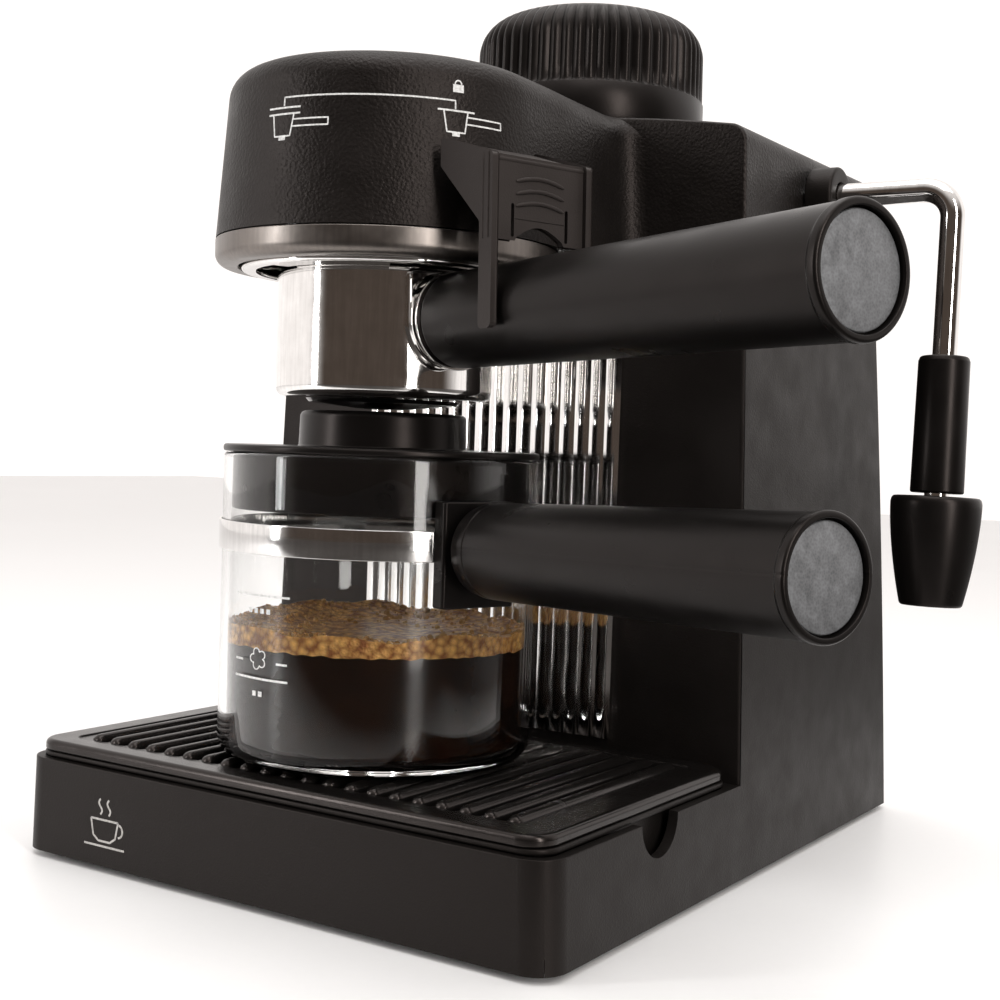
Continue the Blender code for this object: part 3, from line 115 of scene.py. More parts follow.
JUG_WALL = 0.0022
JUG_BOTTOM_Z = drawn_box("jug_glass")[0][2]
JUG_TOP_Z = drawn_box("jug_glass")[1][2]
CAP_LOW, CAP_HIGH = drawn_box("boiler_cap")
CAP_Y = (CAP_LOW[1] + CAP_HIGH[1]) / 2
CAP_TOP_Z = CAP_HIGH[2]
CAP_RADIUS = 0.0405
HANDLE_ANGLE = math.radians(-20.0)
FILTER_TILT = math.radians(1.587)
FILTER_AXIS_Z = 0.1607
JUG_TILT = math.radians(1.68)
JUG_AXIS_Z = 0.0975
GUARD_T = 0.072
WAND = np.array([0.1339, 0.163, 0.2115])
WAND_LEAN = math.radians(2.5)
print("origin of the drawing frame:", ORIGIN.round(4))

# %% [markdown]
# ## Tools for surfaces
# A shape here is a pair: an array of points and a list of faces. Turned parts come from a profile
# of (radius, height) pairs whose corners are rounded by true arcs; mouldings come from rings lofted
# between outlines; pipes come from a section swept along a path. Working with whole arrays keeps
# each function short, and a real edge radius is what gives plastic and plate their thin highlights.

# %% surface tools
WELD = 2e-7                            # points closer than this are one point
SOFT_LIMIT = math.radians(30.0)        # Boolean results stay crisp where they turn by more


def arc_points(centre, radius, start, end, steps):
    """Points centre + radius (cos a, sin a) for a from start to end, in degrees."""
    angles = np.radians(np.linspace(start, end, steps + 1))
    return np.stack([centre[0] + radius * np.cos(angles), centre[1] + radius * np.sin(angles)], 1)


def rounded(points, radii, steps=6, closed=False):
    """Polyline with each corner replaced by an arc tangent to both sides.

    The arc starts radius * tan(turn / 2) before the corner, where turn is the change of direction.
    """
    points = np.asarray(points, float)
    count = len(points)
    radii = [radii] * count if np.isscalar(radii) else radii
    result = []
    for index, (point, radius) in enumerate(zip(points, radii)):
        at_end = not closed and index in (0, count - 1)
        if at_end or radius <= 0.0:
            result.append(point)
            continue
        back = points[index - 1] - point
        ahead = points[(index + 1) % count] - point
        room = min(np.linalg.norm(back), np.linalg.norm(ahead)) * 0.499
        back = back / np.linalg.norm(back)
        ahead = ahead / np.linalg.norm(ahead)
        half = math.acos(np.clip(back @ ahead, -1.0, 1.0)) / 2
        if half > math.pi / 2 - 0.01:
            result.append(point)
            continue
        reach = min(radius / math.tan(half), room)
        radius = reach * math.tan(half)
        middle = (back + ahead) / np.linalg.norm(back + ahead)
        centre = point + middle * radius / math.sin(half)
        start = point + back * reach - centre
        end = point + ahead * reach - centre
        turn = math.atan2(start[0] * end[1] - start[1] * end[0], start @ end)
        angles = np.linspace(0.0, turn, steps + 1)
        result.extend(np.stack([start[0] * np.cos(angles) - start[1] * np.sin(angles),
                                start[0] * np.sin(angles) + start[1] * np.cos(angles)], 1) + centre)
    return np.array(result)


def grid_faces(rows, columns, wrap_rows=False, wrap_columns=True):
    """Quads of a rows x columns grid of points, closed on itself where asked."""
    row = np.arange(rows if wrap_rows else rows - 1)[:, None]
    column = np.arange(columns if wrap_columns else columns - 1)[None, :]
    next_row = (row + 1) % rows
    next_column = (column + 1) % columns
    quads = np.stack([row * columns + column, row * columns + next_column,
                      next_row * columns + next_column, next_row * columns + column], -1)
    return quads.reshape(-1, 4).tolist()


def turned(profile, centre=(0.0, 0.0, 0.0), sides=96, ripple=None):
    """Turn (r, z) pairs about Z: x = r cos a, y = r sin a.

    A profile that starts on the axis is a solid; any other closes on itself as a ring.
    ripple(r, z, a) may add to the radius, for ribs and lips.
    """
    profile = np.asarray(profile, float)
    angles = np.arange(sides) * 2.0 * math.pi / sides
    radius = profile[:, :1] + np.zeros((1, sides))
    height = profile[:, 1:] + np.zeros((1, sides))
    if ripple is not None:
        radius = radius + ripple(radius, height, angles[None, :])
    points = np.stack([radius * np.cos(angles), radius * np.sin(angles), height], -1)
    ring = profile[0, 0] > 1e-9
    return points.reshape(-1, 3) + np.asarray(centre), grid_faces(len(profile), sides, ring)


def lofted(rings, capped=True, wrap=False):
    """Skin through rings of equal length, given as an array (rings, points, 3)."""
    rings = np.asarray(rings, float)
    count, length = rings.shape[:2]
    faces = grid_faces(count, length, wrap)
    if capped and not wrap:
        faces.append(list(range(length))[::-1])
        faces.append(list(range((count - 1) * length, count * length)))
    return rings.reshape(-1, 3), faces


def swept(path, section):
    """Carry a closed (u, v) section along a path without twist."""
    path = np.asarray(path, float)
    section = np.asarray(section, float)
    forward = np.gradient(path, axis=0)
    forward /= np.linalg.norm(forward, axis=1)[:, None]
    side = np.array([0.0, 0.0, 1.0]) if abs(forward[0, 2]) < 0.9 else np.array([1.0, 0.0, 0.0])
    rings = []
    for point, ahead in zip(path, forward):
        side = side - ahead * (side @ ahead)
        side /= np.linalg.norm(side)
        other = np.cross(ahead, side)
        rings.append(point + section[:, :1] * side + section[:, 1:] * other)
    return lofted(rings)


def circle(radius, sides=24):
    """Closed round section."""
    angles = np.arange(sides) * 2.0 * math.pi / sides
    return np.stack([radius * np.cos(angles), radius * np.sin(angles)], 1)


def inset(outline, distance):
    """Closed outline moved inward along its averaged normals; outlines run anticlockwise."""
    ahead = np.roll(outline, -1, 0) - outline
    ahead /= np.maximum(np.linalg.norm(ahead, axis=1)[:, None], 1e-12)
    tangent = ahead + np.roll(ahead, 1, 0)
    tangent /= np.linalg.norm(tangent, axis=1)[:, None]
    spread = np.maximum((tangent * ahead).sum(1), 0.5)[:, None]
    inward = np.stack([-tangent[:, 1], tangent[:, 0]], 1)
    return outline + inward * distance / spread


def slab(outline, low, high, edge, steps=4, edge_below=None):
    """Flat plate with both rims rounded by quarter circles."""
    below = edge if edge_below is None else edge_below
    rings = []
    for angle in np.radians(np.linspace(-90.0, 0.0, steps + 1)):
        ring = inset(outline, below * (1.0 - math.cos(angle)))
        rings.append(np.c_[ring, np.full(len(ring), low + below * (1.0 + math.sin(angle)))])
    for angle in np.radians(np.linspace(0.0, 90.0, steps + 1)):
        ring = inset(outline, edge * (1.0 - math.cos(angle)))
        rings.append(np.c_[ring, np.full(len(ring), high - edge * (1.0 - math.sin(angle)))])
    return lofted(rings)


def rounded_rectangle(x_low, x_high, y_low, y_high, radius, steps=8):
    """Anticlockwise outline with round corners."""
    corners = [(x_low, y_low), (x_high, y_low), (x_high, y_high), (x_low, y_high)]
    return rounded(corners, radius, steps, closed=True)


def merged(*shapes):
    """Several shapes as one list of points and faces."""
    points = []
    faces = []
    start = 0
    for shape_points, shape_faces in shapes:
        points.append(np.asarray(shape_points, float))
        faces.extend([[index + start for index in face] for face in shape_faces])
        start += len(shape_points)
    return np.concatenate(points), faces


def placed(shape, matrix):
    """A shape carried by a 4x4 matrix."""
    matrix = np.array(matrix)
    return np.asarray(shape[0]) @ matrix[:3, :3].T + matrix[:3, 3], shape[1]


def axis_frame(origin, direction):
    """Matrix that turns local +Z onto a direction: local X rises, local Y stays level (left-handed)."""
    forward = Vector(direction).normalized()
    level = Vector((0.0, 0.0, 1.0)).cross(forward)
    side = level.normalized() if level.length > 0.001 else Vector((0.0, 1.0, 0.0))
    turn = Matrix((forward.cross(side), side, forward)).transposed().to_4x4()
    return Matrix.Translation(Vector(origin)) @ turn


def handle_frame(centre_y, axis_z, tilt):
    """Frame of a handle: X up, Y level across, Z outward along it."""
    level = math.cos(tilt)
    direction = (math.cos(HANDLE_ANGLE) * level, math.sin(HANDLE_ANGLE) * level, math.sin(tilt))
    return axis_frame((0.0, centre_y, axis_z), direction)


def piece(name, shape, material, body, replaces=(), sharp=35.0):
    """Make a mesh object from a drawn shape, place it on the frame and let it ride on a body."""
    points = np.asarray(shape[0], float) + ORIGIN
    mesh = bpy.data.meshes.new(name)
    mesh.from_pydata(points.tolist(), [], shape[1])
    work = bmesh.new()
    work.from_mesh(mesh)
    bmesh.ops.remove_doubles(work, verts=work.verts, dist=WELD)
    bmesh.ops.recalc_face_normals(work, faces=work.faces)
    work.to_mesh(mesh)
    work.free()
    mesh.shade_smooth()
    mesh.set_sharp_from_angle(angle=math.radians(sharp))
    item = bpy.data.objects.new(name, mesh)
    bpy.context.scene.collection.objects.link(item)
    mesh.materials.append(material)
    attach(item, body)
    if replaces:
        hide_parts(*replaces)
    return item


print("tools ready")

# %% [markdown]
# ## Camera, lights and floor
# The view is low and from the front right corner, a little wide. Black plastic shows almost nothing
# of its own colour, so the picture is made by what it mirrors: a white room with one dark side
# towards the viewer, a soft strip on the right, one on the left front for the plated parts, and a
# broad panel overhead for the handle tops and the head.

# %% camera, lights, floor
CAMERA_PLACE = np.array([0.276511, -0.305408, 0.128165])
CAMERA_TURN = math.radians(33.194)
CAMERA_PITCH = math.radians(-2.1495)
CAMERA_ROLL = math.radians(1.9453)
CAMERA_LENS = 54.344
SENSOR_WIDTH = 36.0
DARK_SIDE = (0.60, -0.80, 0.0)         # direction towards the dark side of the room
DARK_EDGE = (0.00, 0.45)               # the room darkens between these shares of that direction
SKY_EDGE = (0.30, 0.85)                # and brightens again between these heights
SKY_SHARE = 0.75
ROOM_DARK = (0.064, 0.049, 0.040, 1.0)
ROOM_BRIGHT = (1.0, 0.955, 0.930, 1.0)
ROOM_STRENGTH = 1.15


def make_camera():
    """Camera with turn about Z, pitch and roll, as three unit vectors of its own axes."""
    ahead = np.array([-math.sin(CAMERA_TURN) * math.cos(CAMERA_PITCH),
                      math.cos(CAMERA_TURN) * math.cos(CAMERA_PITCH), math.sin(CAMERA_PITCH)])
    right = np.array([math.cos(CAMERA_TURN), math.sin(CAMERA_TURN), 0.0])
    up = np.cross(right, ahead)
    right_rolled = right * math.cos(CAMERA_ROLL) + up * math.sin(CAMERA_ROLL)
    up_rolled = up * math.cos(CAMERA_ROLL) - right * math.sin(CAMERA_ROLL)
    data = bpy.data.cameras.new("camera")
    data.lens = CAMERA_LENS
    data.sensor_width = SENSOR_WIDTH
    data.clip_start = 0.01
    camera = bpy.data.objects.new("camera", data)
    bpy.context.scene.collection.objects.link(camera)
    matrix = np.eye(4)
    matrix[:3, 0] = right_rolled
    matrix[:3, 1] = up_rolled
    matrix[:3, 2] = -ahead
    matrix[:3, 3] = CAMERA_PLACE + ORIGIN
    camera.matrix_world = Matrix(matrix.tolist())
    bpy.context.scene.camera = camera
    return camera


def area_light(name, place, target, width, height, watts, colour=(1.0, 1.0, 1.0)):
    """Soft rectangular light that faces a target."""
    data = bpy.data.lights.new(name, "AREA")
    data.shape = "RECTANGLE"
    data.size = width
    data.size_y = height
    data.energy = watts
    data.color = colour
    light = bpy.data.objects.new(name, data)
    bpy.context.scene.collection.objects.link(light)
    place = Vector(place) + Vector(ORIGIN)
    aim = Vector(target) + Vector(ORIGIN) - place
    light.location = place
    light.rotation_euler = aim.to_track_quat("-Z", "Y").to_euler()
    return light


def make_world():
    """White room with one dark side: radiance = dark + (1 - dark) * max(away from the dark, up)."""
    world = bpy.data.worlds.new("studio")
    bpy.context.scene.world = world
    world.use_nodes = True
    nodes = world.node_tree.nodes
    links = world.node_tree.links
    background = nodes["Background"]
    place = nodes.new("ShaderNodeTexCoord")
    toward = nodes.new("ShaderNodeVectorMath")
    toward.operation = "DOT_PRODUCT"
    toward.inputs[1].default_value = DARK_SIDE
    split = nodes.new("ShaderNodeSeparateXYZ")
    links.new(place.outputs["Generated"], toward.inputs[0])
    links.new(place.outputs["Generated"], split.inputs[0])
    parts = []
    for source, limits in ((toward.outputs["Value"], (*DARK_EDGE, 1.0, 0.0)),
                           (split.outputs["Z"], (*SKY_EDGE, 0.0, SKY_SHARE))):
        remap = nodes.new("ShaderNodeMapRange")
        remap.interpolation_type = "SMOOTHSTEP"
        for socket, number in zip(("From Min", "From Max", "To Min", "To Max"), limits):
            remap.inputs[socket].default_value = number
        links.new(source, remap.inputs["Value"])
        parts.append(remap.outputs["Result"])
    larger = nodes.new("ShaderNodeMath")
    larger.operation = "MAXIMUM"
    links.new(parts[0], larger.inputs[0])
    links.new(parts[1], larger.inputs[1])
    mix = nodes.new("ShaderNodeMix")
    mix.data_type = "RGBA"
    mix.inputs[6].default_value = ROOM_DARK
    mix.inputs[7].default_value = ROOM_BRIGHT
    links.new(larger.outputs[0], mix.inputs[0])
    links.new(mix.outputs[2], background.inputs["Color"])
    background.inputs["Strength"].default_value = ROOM_STRENGTH


def make_floor(material):
    """Broad worktop just under the feet."""
    reach = 3.0
    height = drawn_box("rubber_foot_1")[0][2]
    points = np.array([[-reach, -reach, height], [reach, -reach, height],
                       [reach, reach, height], [-reach, reach, height]]) + ORIGIN
    mesh = bpy.data.meshes.new("floor")
    mesh.from_pydata(points.tolist(), [], [[0, 1, 2, 3]])
    floor = bpy.data.objects.new("floor", mesh)
    bpy.context.scene.collection.objects.link(floor)
    mesh.materials.append(material)


make_camera()
make_world()
bpy.context.scene.view_settings.view_transform = "Standard"
area_light("right_strip", (0.80, -0.30, 0.40), (0.05, 0.10, 0.14), 0.16, 0.9, 6.0, (1.0, 0.97, 0.94))
area_light("left_strip", (-0.60, -0.70, 0.35), (0.0, 0.05, 0.12), 0.10, 0.6, 3.0)
area_light("overhead", (0.10, 0.05, 1.10), (0.0, 0.10, 0.10), 0.9, 0.9, 6.0)
print("camera and lights ready")

# %% [markdown]
# ## Materials
# Each finish is a Principled shader fed by noise in Object coordinates, which are metres on the
# frame, so a grain size is written as a real length. Moulded ABS here is spark-eroded: fine cells
# with soft walls, and a roughness that drifts a little. Plated parts carry a faint waviness and
# polishing haze, which breaks up reflections the way real plating does.

# %% material tools
class Graph:
    """Thin helper around one material's node tree."""

    def __init__(self, name):
        """Start a material with its shader and its Object coordinates."""
        self.material = bpy.data.materials.new(name)
        self.material.use_nodes = True
        self.tree = self.material.node_tree
        self.shader = self.tree.nodes["Principled BSDF"]
        self.place = self.node("ShaderNodeTexCoord").outputs["Object"]

    def node(self, kind, **settings):
        """Add a node and set its properties."""
        made = self.tree.nodes.new(kind)
        for key, value in settings.items():
            setattr(made, key, value)
        return made

    def link(self, source, target):
        """Join an output to an input."""
        self.tree.links.new(source, target)

    def stretched(self, scale, place=None):
        """Object coordinates multiplied by a scale per axis."""
        mapping = self.node("ShaderNodeMapping")
        mapping.inputs["Scale"].default_value = scale
        self.link(place or self.place, mapping.inputs["Vector"])
        return mapping.outputs[0]

    def noise(self, size, detail=3.0, roughness=0.5, place=None):
        """Noise whose features are about size metres across."""
        made = self.node("ShaderNodeTexNoise")
        made.inputs["Scale"].default_value = 1.0 / size
        made.inputs["Detail"].default_value = detail
        made.inputs["Roughness"].default_value = roughness
        self.link(place or self.place, made.inputs["Vector"])
        return made.outputs["Fac"]

    def cells(self, size, feature="SMOOTH_F1", place=None):
        """Cell distance pattern whose cells are about size metres across."""
        made = self.node("ShaderNodeTexVoronoi", feature=feature)
        made.inputs["Scale"].default_value = 1.0 / size
        self.link(place or self.place, made.inputs["Vector"])
        return made.outputs["Distance"]

    def remap(self, value, low, high, new_low, new_high):
        """Value carried linearly from one range to another, clamped."""
        made = self.node("ShaderNodeMapRange")
        for socket, number in zip(("From Min", "From Max", "To Min", "To Max"),
                                  (low, high, new_low, new_high)):
            made.inputs[socket].default_value = number
        self.link(value, made.inputs["Value"])
        return made.outputs["Result"]

    def mix(self, factor, first, second):
        """Colour between two colours; each may be a tuple or a socket."""
        made = self.node("ShaderNodeMix", data_type="RGBA")
        for socket, value in ((made.inputs[6], first), (made.inputs[7], second)):
            if isinstance(value, tuple):
                socket.default_value = (*value, 1.0)
            else:
                self.link(value, socket)
        self.link(factor, made.inputs[0])
        return made.outputs[2]

    def maths(self, operation, first, second):
        """Arithmetic on sockets or numbers."""
        made = self.node("ShaderNodeMath", operation=operation)
        for socket, value in zip(made.inputs, (first, second)):
            if isinstance(value, (int, float)):
                socket.default_value = value
            else:
                self.link(value, socket)
        return made.outputs[0]

    def bump(self, height, depth, strength=1.0):
        """Surface relief of a given depth in metres."""
        made = self.node("ShaderNodeBump")
        made.inputs["Strength"].default_value = strength
        made.inputs["Distance"].default_value = depth
        self.link(height, made.inputs["Height"])
        self.link(made.outputs[0], self.shader.inputs["Normal"])

    def set(self, **values):
        """Feed shader inputs; underscores stand for spaces."""
        for key, value in values.items():
            socket = self.shader.inputs[key.replace("_", " ")]
            if isinstance(value, tuple):
                socket.default_value = (*value, 1.0)
            elif isinstance(value, (int, float)):
                socket.default_value = value
            else:
                self.link(value, socket)
        return self


WARM_SHEEN = (1.0, 0.86, 0.81)
# Painted shade: beyond these lines the worktop's colour turns dark, so the machine mirrors a dark floor
# there.
SHADE_LINES = ((0.622, -0.783, 0.080),  # x and y of a direction, and where shade starts along it
               (0.967, 0.257, 0.215))
SHADE_FADE = 0.110                     # length over which the worktop's colour fades into painted shade
SHADE_TONE = (0.035, 0.032, 0.030)


def moulded(name, dark, light, rough_low, rough_high, cell, depth, strength, gloss=0.5):
    """Grained plastic: soft cells over fine noise, colour and roughness drifting slowly."""
    graph = Graph(name)
    drift = graph.noise(0.012, 2.0)
    grain = graph.cells(cell)
    fine = graph.noise(cell * 0.5, 2.0, 0.6)
    height = graph.maths("ADD", grain, graph.maths("MULTIPLY", fine, 0.6))
    graph.set(Base_Color=graph.mix(drift, dark, light),
              Roughness=graph.remap(drift, 0.3, 0.7, rough_low, rough_high),
              Specular_IOR_Level=gloss, Specular_Tint=WARM_SHEEN)
    graph.bump(height, depth, strength)
    return graph.material


def polished(name, colour, haze, rough_low, rough_high, wave_depth, wave_size=0.011):
    """Bright metal: faint waviness, drifting haze and a trace of polishing lines."""
    graph = Graph(name)
    drift = graph.noise(0.009, 4.0, 0.6)
    lines = graph.noise(0.0012, 2.0, 0.5, graph.stretched((1.0, 1.0, 0.08)))
    shade = graph.maths("MULTIPLY", drift, lines)
    graph.set(Base_Color=graph.mix(graph.remap(shade, 0.12, 0.40, 0.0, 1.0), haze, colour),
              Metallic=1.0, Roughness=graph.remap(drift, 0.30, 0.70, rough_low, rough_high))
    graph.bump(graph.noise(wave_size, 1.0), wave_depth)
    return graph.material


def rolled(name, dark, light, rough_low, rough_high, stretch, size=0.0006, depth=0.00001):
    """Metal with directional lines, stretched along one axis."""
    graph = Graph(name)
    lines = graph.noise(size, 3.0, 0.6, graph.stretched(stretch))
    drift = graph.noise(0.015, 3.0)
    graph.set(Base_Color=graph.mix(lines, dark, light), Metallic=1.0,
              Roughness=graph.remap(drift, 0.3, 0.7, rough_low, rough_high))
    graph.bump(lines, depth)
    return graph.material


def mottled_disc():
    """Silver inlay: cloudy two-tone finish with fine speckle."""
    graph = Graph("mottled_silver")
    cloud = graph.noise(0.0036, 5.0, 0.62)
    speck = graph.cells(0.0006, "F1")
    tone = graph.maths("ADD", graph.maths("MULTIPLY", cloud, 0.8), graph.maths("MULTIPLY", speck, 0.3))
    graph.set(Base_Color=graph.mix(graph.remap(tone, 0.35, 0.75, 0.0, 1.0),
                                   (0.13, 0.133, 0.138), (0.24, 0.246, 0.256)),
              Metallic=0.55, Roughness=graph.remap(cloud, 0.35, 0.65, 0.42, 0.55))
    graph.bump(tone, 0.00006, 0.6)
    return graph.material


def clear_glass():
    """Borosilicate glass with a faint tint and shallow forming waves."""
    graph = Graph("clear_glass")
    drift = graph.noise(0.02, 2.0)
    graph.set(Base_Color=graph.mix(drift, (0.975, 0.985, 0.98), (1.0, 1.0, 1.0)),
              Transmission_Weight=1.0, IOR=1.33,
              Roughness=graph.remap(drift, 0.3, 0.7, 0.0, 0.012))
    graph.bump(graph.noise(0.018, 1.0), 0.00003)
    return graph.material


def coffee_liquid():
    """Nearly black coffee that turns amber where it is thin."""
    graph = Graph("coffee_liquid")
    drift = graph.noise(0.006, 3.0)
    graph.set(Base_Color=graph.mix(drift, (0.006, 0.0022, 0.001), (0.016, 0.006, 0.002)),
              Roughness=graph.remap(drift, 0.3, 0.7, 0.03, 0.08), Specular_IOR_Level=0.15)
    return graph.material


def coffee_foam():
    """Golden crema: bubbles of several sizes, darker between them."""
    graph = Graph("coffee_foam")
    large = graph.cells(0.0022, "F1")
    small = graph.cells(0.0008, "F1")
    cloud = graph.noise(0.005, 4.0, 0.6)
    tone = graph.maths("ADD", graph.maths("MULTIPLY", large, 0.7), graph.maths("MULTIPLY", cloud, 0.5))
    graph.set(Base_Color=graph.mix(graph.remap(tone, 0.35, 0.80, 0.0, 1.0),
                                   (0.78, 0.44, 0.13), (0.24, 0.085, 0.016)),
              Roughness=0.35, Specular_IOR_Level=0.25, Subsurface_Weight=0.12)
    graph.shader.inputs["Subsurface Radius"].default_value = (0.0012, 0.0006, 0.0003)
    graph.bump(graph.maths("ADD", large, small), 0.0005, 0.8)
    return graph.material


def foam_bubble():
    """Single bubbles: amber, wet and a little see-through."""
    graph = Graph("foam_bubble")
    tint = graph.noise(0.003, 2.0)
    graph.set(Base_Color=graph.mix(tint, (0.90, 0.56, 0.20), (0.50, 0.23, 0.06)),
              Roughness=0.12, Transmission_Weight=0.45, IOR=1.25, Coat_Weight=0.3)
    return graph.material


def print_ink(name, thin, full):
    """Screen print with slightly uneven cover."""
    graph = Graph(name)
    cover = graph.noise(0.0007, 3.0, 0.6)
    graph.set(Base_Color=graph.mix(graph.remap(cover, 0.35, 0.6, 0.0, 1.0), thin, full),
              Roughness=0.5)
    graph.bump(cover, 0.00002, 0.5)
    return graph.material


def worktop():
    """Pale sealed worktop with a whisper of mottling, with painted shade in front and to the right."""
    graph = Graph("pale_worktop")
    cloud = graph.noise(0.18, 4.0, 0.6)
    speck = graph.noise(0.003, 2.0)
    tone = graph.maths("ADD", graph.maths("MULTIPLY", cloud, 0.7), graph.maths("MULTIPLY", speck, 0.3))
    pale = graph.mix(tone, (0.84, 0.84, 0.84), (0.90, 0.90, 0.90))
    split = graph.node("ShaderNodeSeparateXYZ")
    graph.link(graph.place, split.inputs[0])
    shades = []
    for across, along, start in SHADE_LINES:
        travel = graph.maths("ADD", graph.maths("MULTIPLY", split.outputs["X"], across),
                             graph.maths("MULTIPLY", split.outputs["Y"], along))
        reach = float(ORIGIN[0] * across + ORIGIN[1] * along) + start
        shades.append(graph.remap(travel, reach, reach + SHADE_FADE, 0.0, 1.0))
    fade = graph.maths("MAXIMUM", *shades)
    # painted shade: the colour fades from pale to SHADE_TONE past the shade lines
    graph.set(Base_Color=graph.mix(fade, pale, SHADE_TONE),
              Roughness=graph.remap(cloud, 0.3, 0.7, 0.35, 0.5))
    graph.bump(speck, 0.00003, 0.4)
    return graph.material


def tinted_lens():
    """Red translucent pilot lens with moulded facets."""
    graph = Graph("red_pilot_lens")
    facets = graph.cells(0.0012, "F1")
    graph.set(Base_Color=graph.mix(facets, (0.75, 0.03, 0.02), (0.45, 0.01, 0.01)),
              Roughness=0.12, Transmission_Weight=0.5, IOR=1.49, Coat_Weight=0.6)
    graph.bump(facets, 0.0003, 0.6)
    return graph.material


# %% make the finishes
GRAINED = moulded("grained_black", (0.0050, 0.0042, 0.0038), (0.0085, 0.0072, 0.0066),
                  0.36, 0.46, 0.00085, 0.00020, 0.75, 0.20)
GRAINED_FINE = moulded("fine_grained_black", (0.0052, 0.0044, 0.0040), (0.0085, 0.0074, 0.0068),
                       0.38, 0.48, 0.00055, 0.00008, 0.50, 0.17)
SATIN = moulded("satin_black", (0.0040, 0.0035, 0.0033), (0.0065, 0.0058, 0.0055),
                0.27, 0.34, 0.00045, 0.00002, 0.30, 0.18)
MATTE = moulded("matte_black", (0.0180, 0.0150, 0.0140), (0.0270, 0.0230, 0.0215),
                0.48, 0.58, 0.00045, 0.00006, 0.50, 0.25)
GLOSS = moulded("gloss_black", (0.0030, 0.0028, 0.0028), (0.0050, 0.0046, 0.0045),
                0.09, 0.15, 0.00300, 0.00002, 0.25, 0.40)
GRILLE_BLACK = moulded("grille_black", (0.0042, 0.0037, 0.0034), (0.0070, 0.0062, 0.0058),
                       0.20, 0.28, 0.00060, 0.00003, 0.30, 0.34)
CHROME = polished("plated_chrome", (0.90, 0.885, 0.87), (0.74, 0.725, 0.71), 0.035, 0.085, 0.00004)
FLUTED = polished("fluted_bright", (0.92, 0.91, 0.90), (0.78, 0.77, 0.76), 0.06, 0.12, 0.00002)
STEEL_STRAP = polished("strap_steel", (0.80, 0.79, 0.78), (0.66, 0.65, 0.64), 0.07, 0.13, 0.00002)
RING_GREY = polished("satin_grey_metal", (0.22, 0.195, 0.178), (0.165, 0.148, 0.136), 0.30, 0.40, 0.00003)
STEEL = rolled("plain_steel", (0.42, 0.42, 0.43), (0.62, 0.62, 0.63), 0.24, 0.38, (1.0, 0.05, 1.0))
CAST = moulded("cast_aluminium", (0.52, 0.52, 0.53), (0.64, 0.64, 0.65), 0.36, 0.50, 0.0009, 0.0001, 0.5)
CAST.node_tree.nodes["Principled BSDF"].inputs["Metallic"].default_value = 1.0
BRASS = rolled("turned_brass", (0.46, 0.33, 0.12), (0.66, 0.50, 0.20), 0.22, 0.34, (1.0, 1.0, 0.08))
RUBBER = moulded("soft_rubber", (0.016, 0.016, 0.016), (0.026, 0.026, 0.026), 0.75, 0.88, 0.0006,
                 0.00008, 0.5)
SILVER_DISC = mottled_disc()
GLASS = clear_glass()
COFFEE = coffee_liquid()
FOAM = coffee_foam()
BUBBLE = foam_bubble()
INK = print_ink("white_print", (0.55, 0.55, 0.54), (0.86, 0.86, 0.85))
INK_SOFT = print_ink("grey_print", (0.34, 0.33, 0.31), (0.52, 0.50, 0.48))
LENS = tinted_lens()
make_floor(worktop())
print("finishes:", len(bpy.data.materials))

# %% [markdown]
# ## Housing
# The body is two mouldings that meet at a parting line behind the filter handle. The lower one is an
# L-shaped block with drafted sides: it is easiest to draw its side outline once, pull it to both
# sides and then bevel each family of edges with its own radius. Boolean cuts open the tray recess,
# the finger notches and the hollow inside, and weighted normals keep the big faces flat.

# %% housing tools
def half_width(height):
    """Half width of the drafted body: w(z) = w0 - draft * z."""
    return BASE_HALF_WIDTH - SIDE_DRAFT * height


def rear(height):
    """Back face: y(z) = y0 - slope * z - curve * z squared."""
    return REAR_BOTTOM_Y - REAR_SLOPE * height - REAR_CURVE * height ** 2


def roof(x):
    """Crowned roof: z(x) = z0 - crown * (x / half width) squared."""
    return ROOF_MID_Z - ROOF_CROWN * (np.asarray(x) / ROOF_HALF_WIDTH) ** 2


def bevel_where(item, test, width, steps, upright=False):
    """Round the edges whose two ends (in the drawing frame) both pass a test, or only upright ones."""
    work = bmesh.new()
    work.from_mesh(item.data)
    shift = Vector(ORIGIN)
    chosen = []
    for edge in work.edges:
        first, second = (vert.co - shift for vert in edge.verts)
        sharp = len(edge.link_faces) == 2 and edge.calc_face_angle(0.0) > math.radians(25.0)
        rise = abs(first.z - second.z) / max(edge.calc_length(), 1e-9)
        if upright and rise < 0.9:
            continue
        if sharp and test(first) and test(second):
            chosen.append(edge)
    bmesh.ops.bevel(work, geom=chosen, offset=width, segments=steps, profile=0.5, affect="EDGES",
                    clamp_overlap=True)
    bmesh.ops.recalc_face_normals(work, faces=work.faces)
    work.to_mesh(item.data)
    work.free()
    item.data.shade_smooth()
    item.data.set_sharp_from_angle(angle=SOFT_LIMIT)


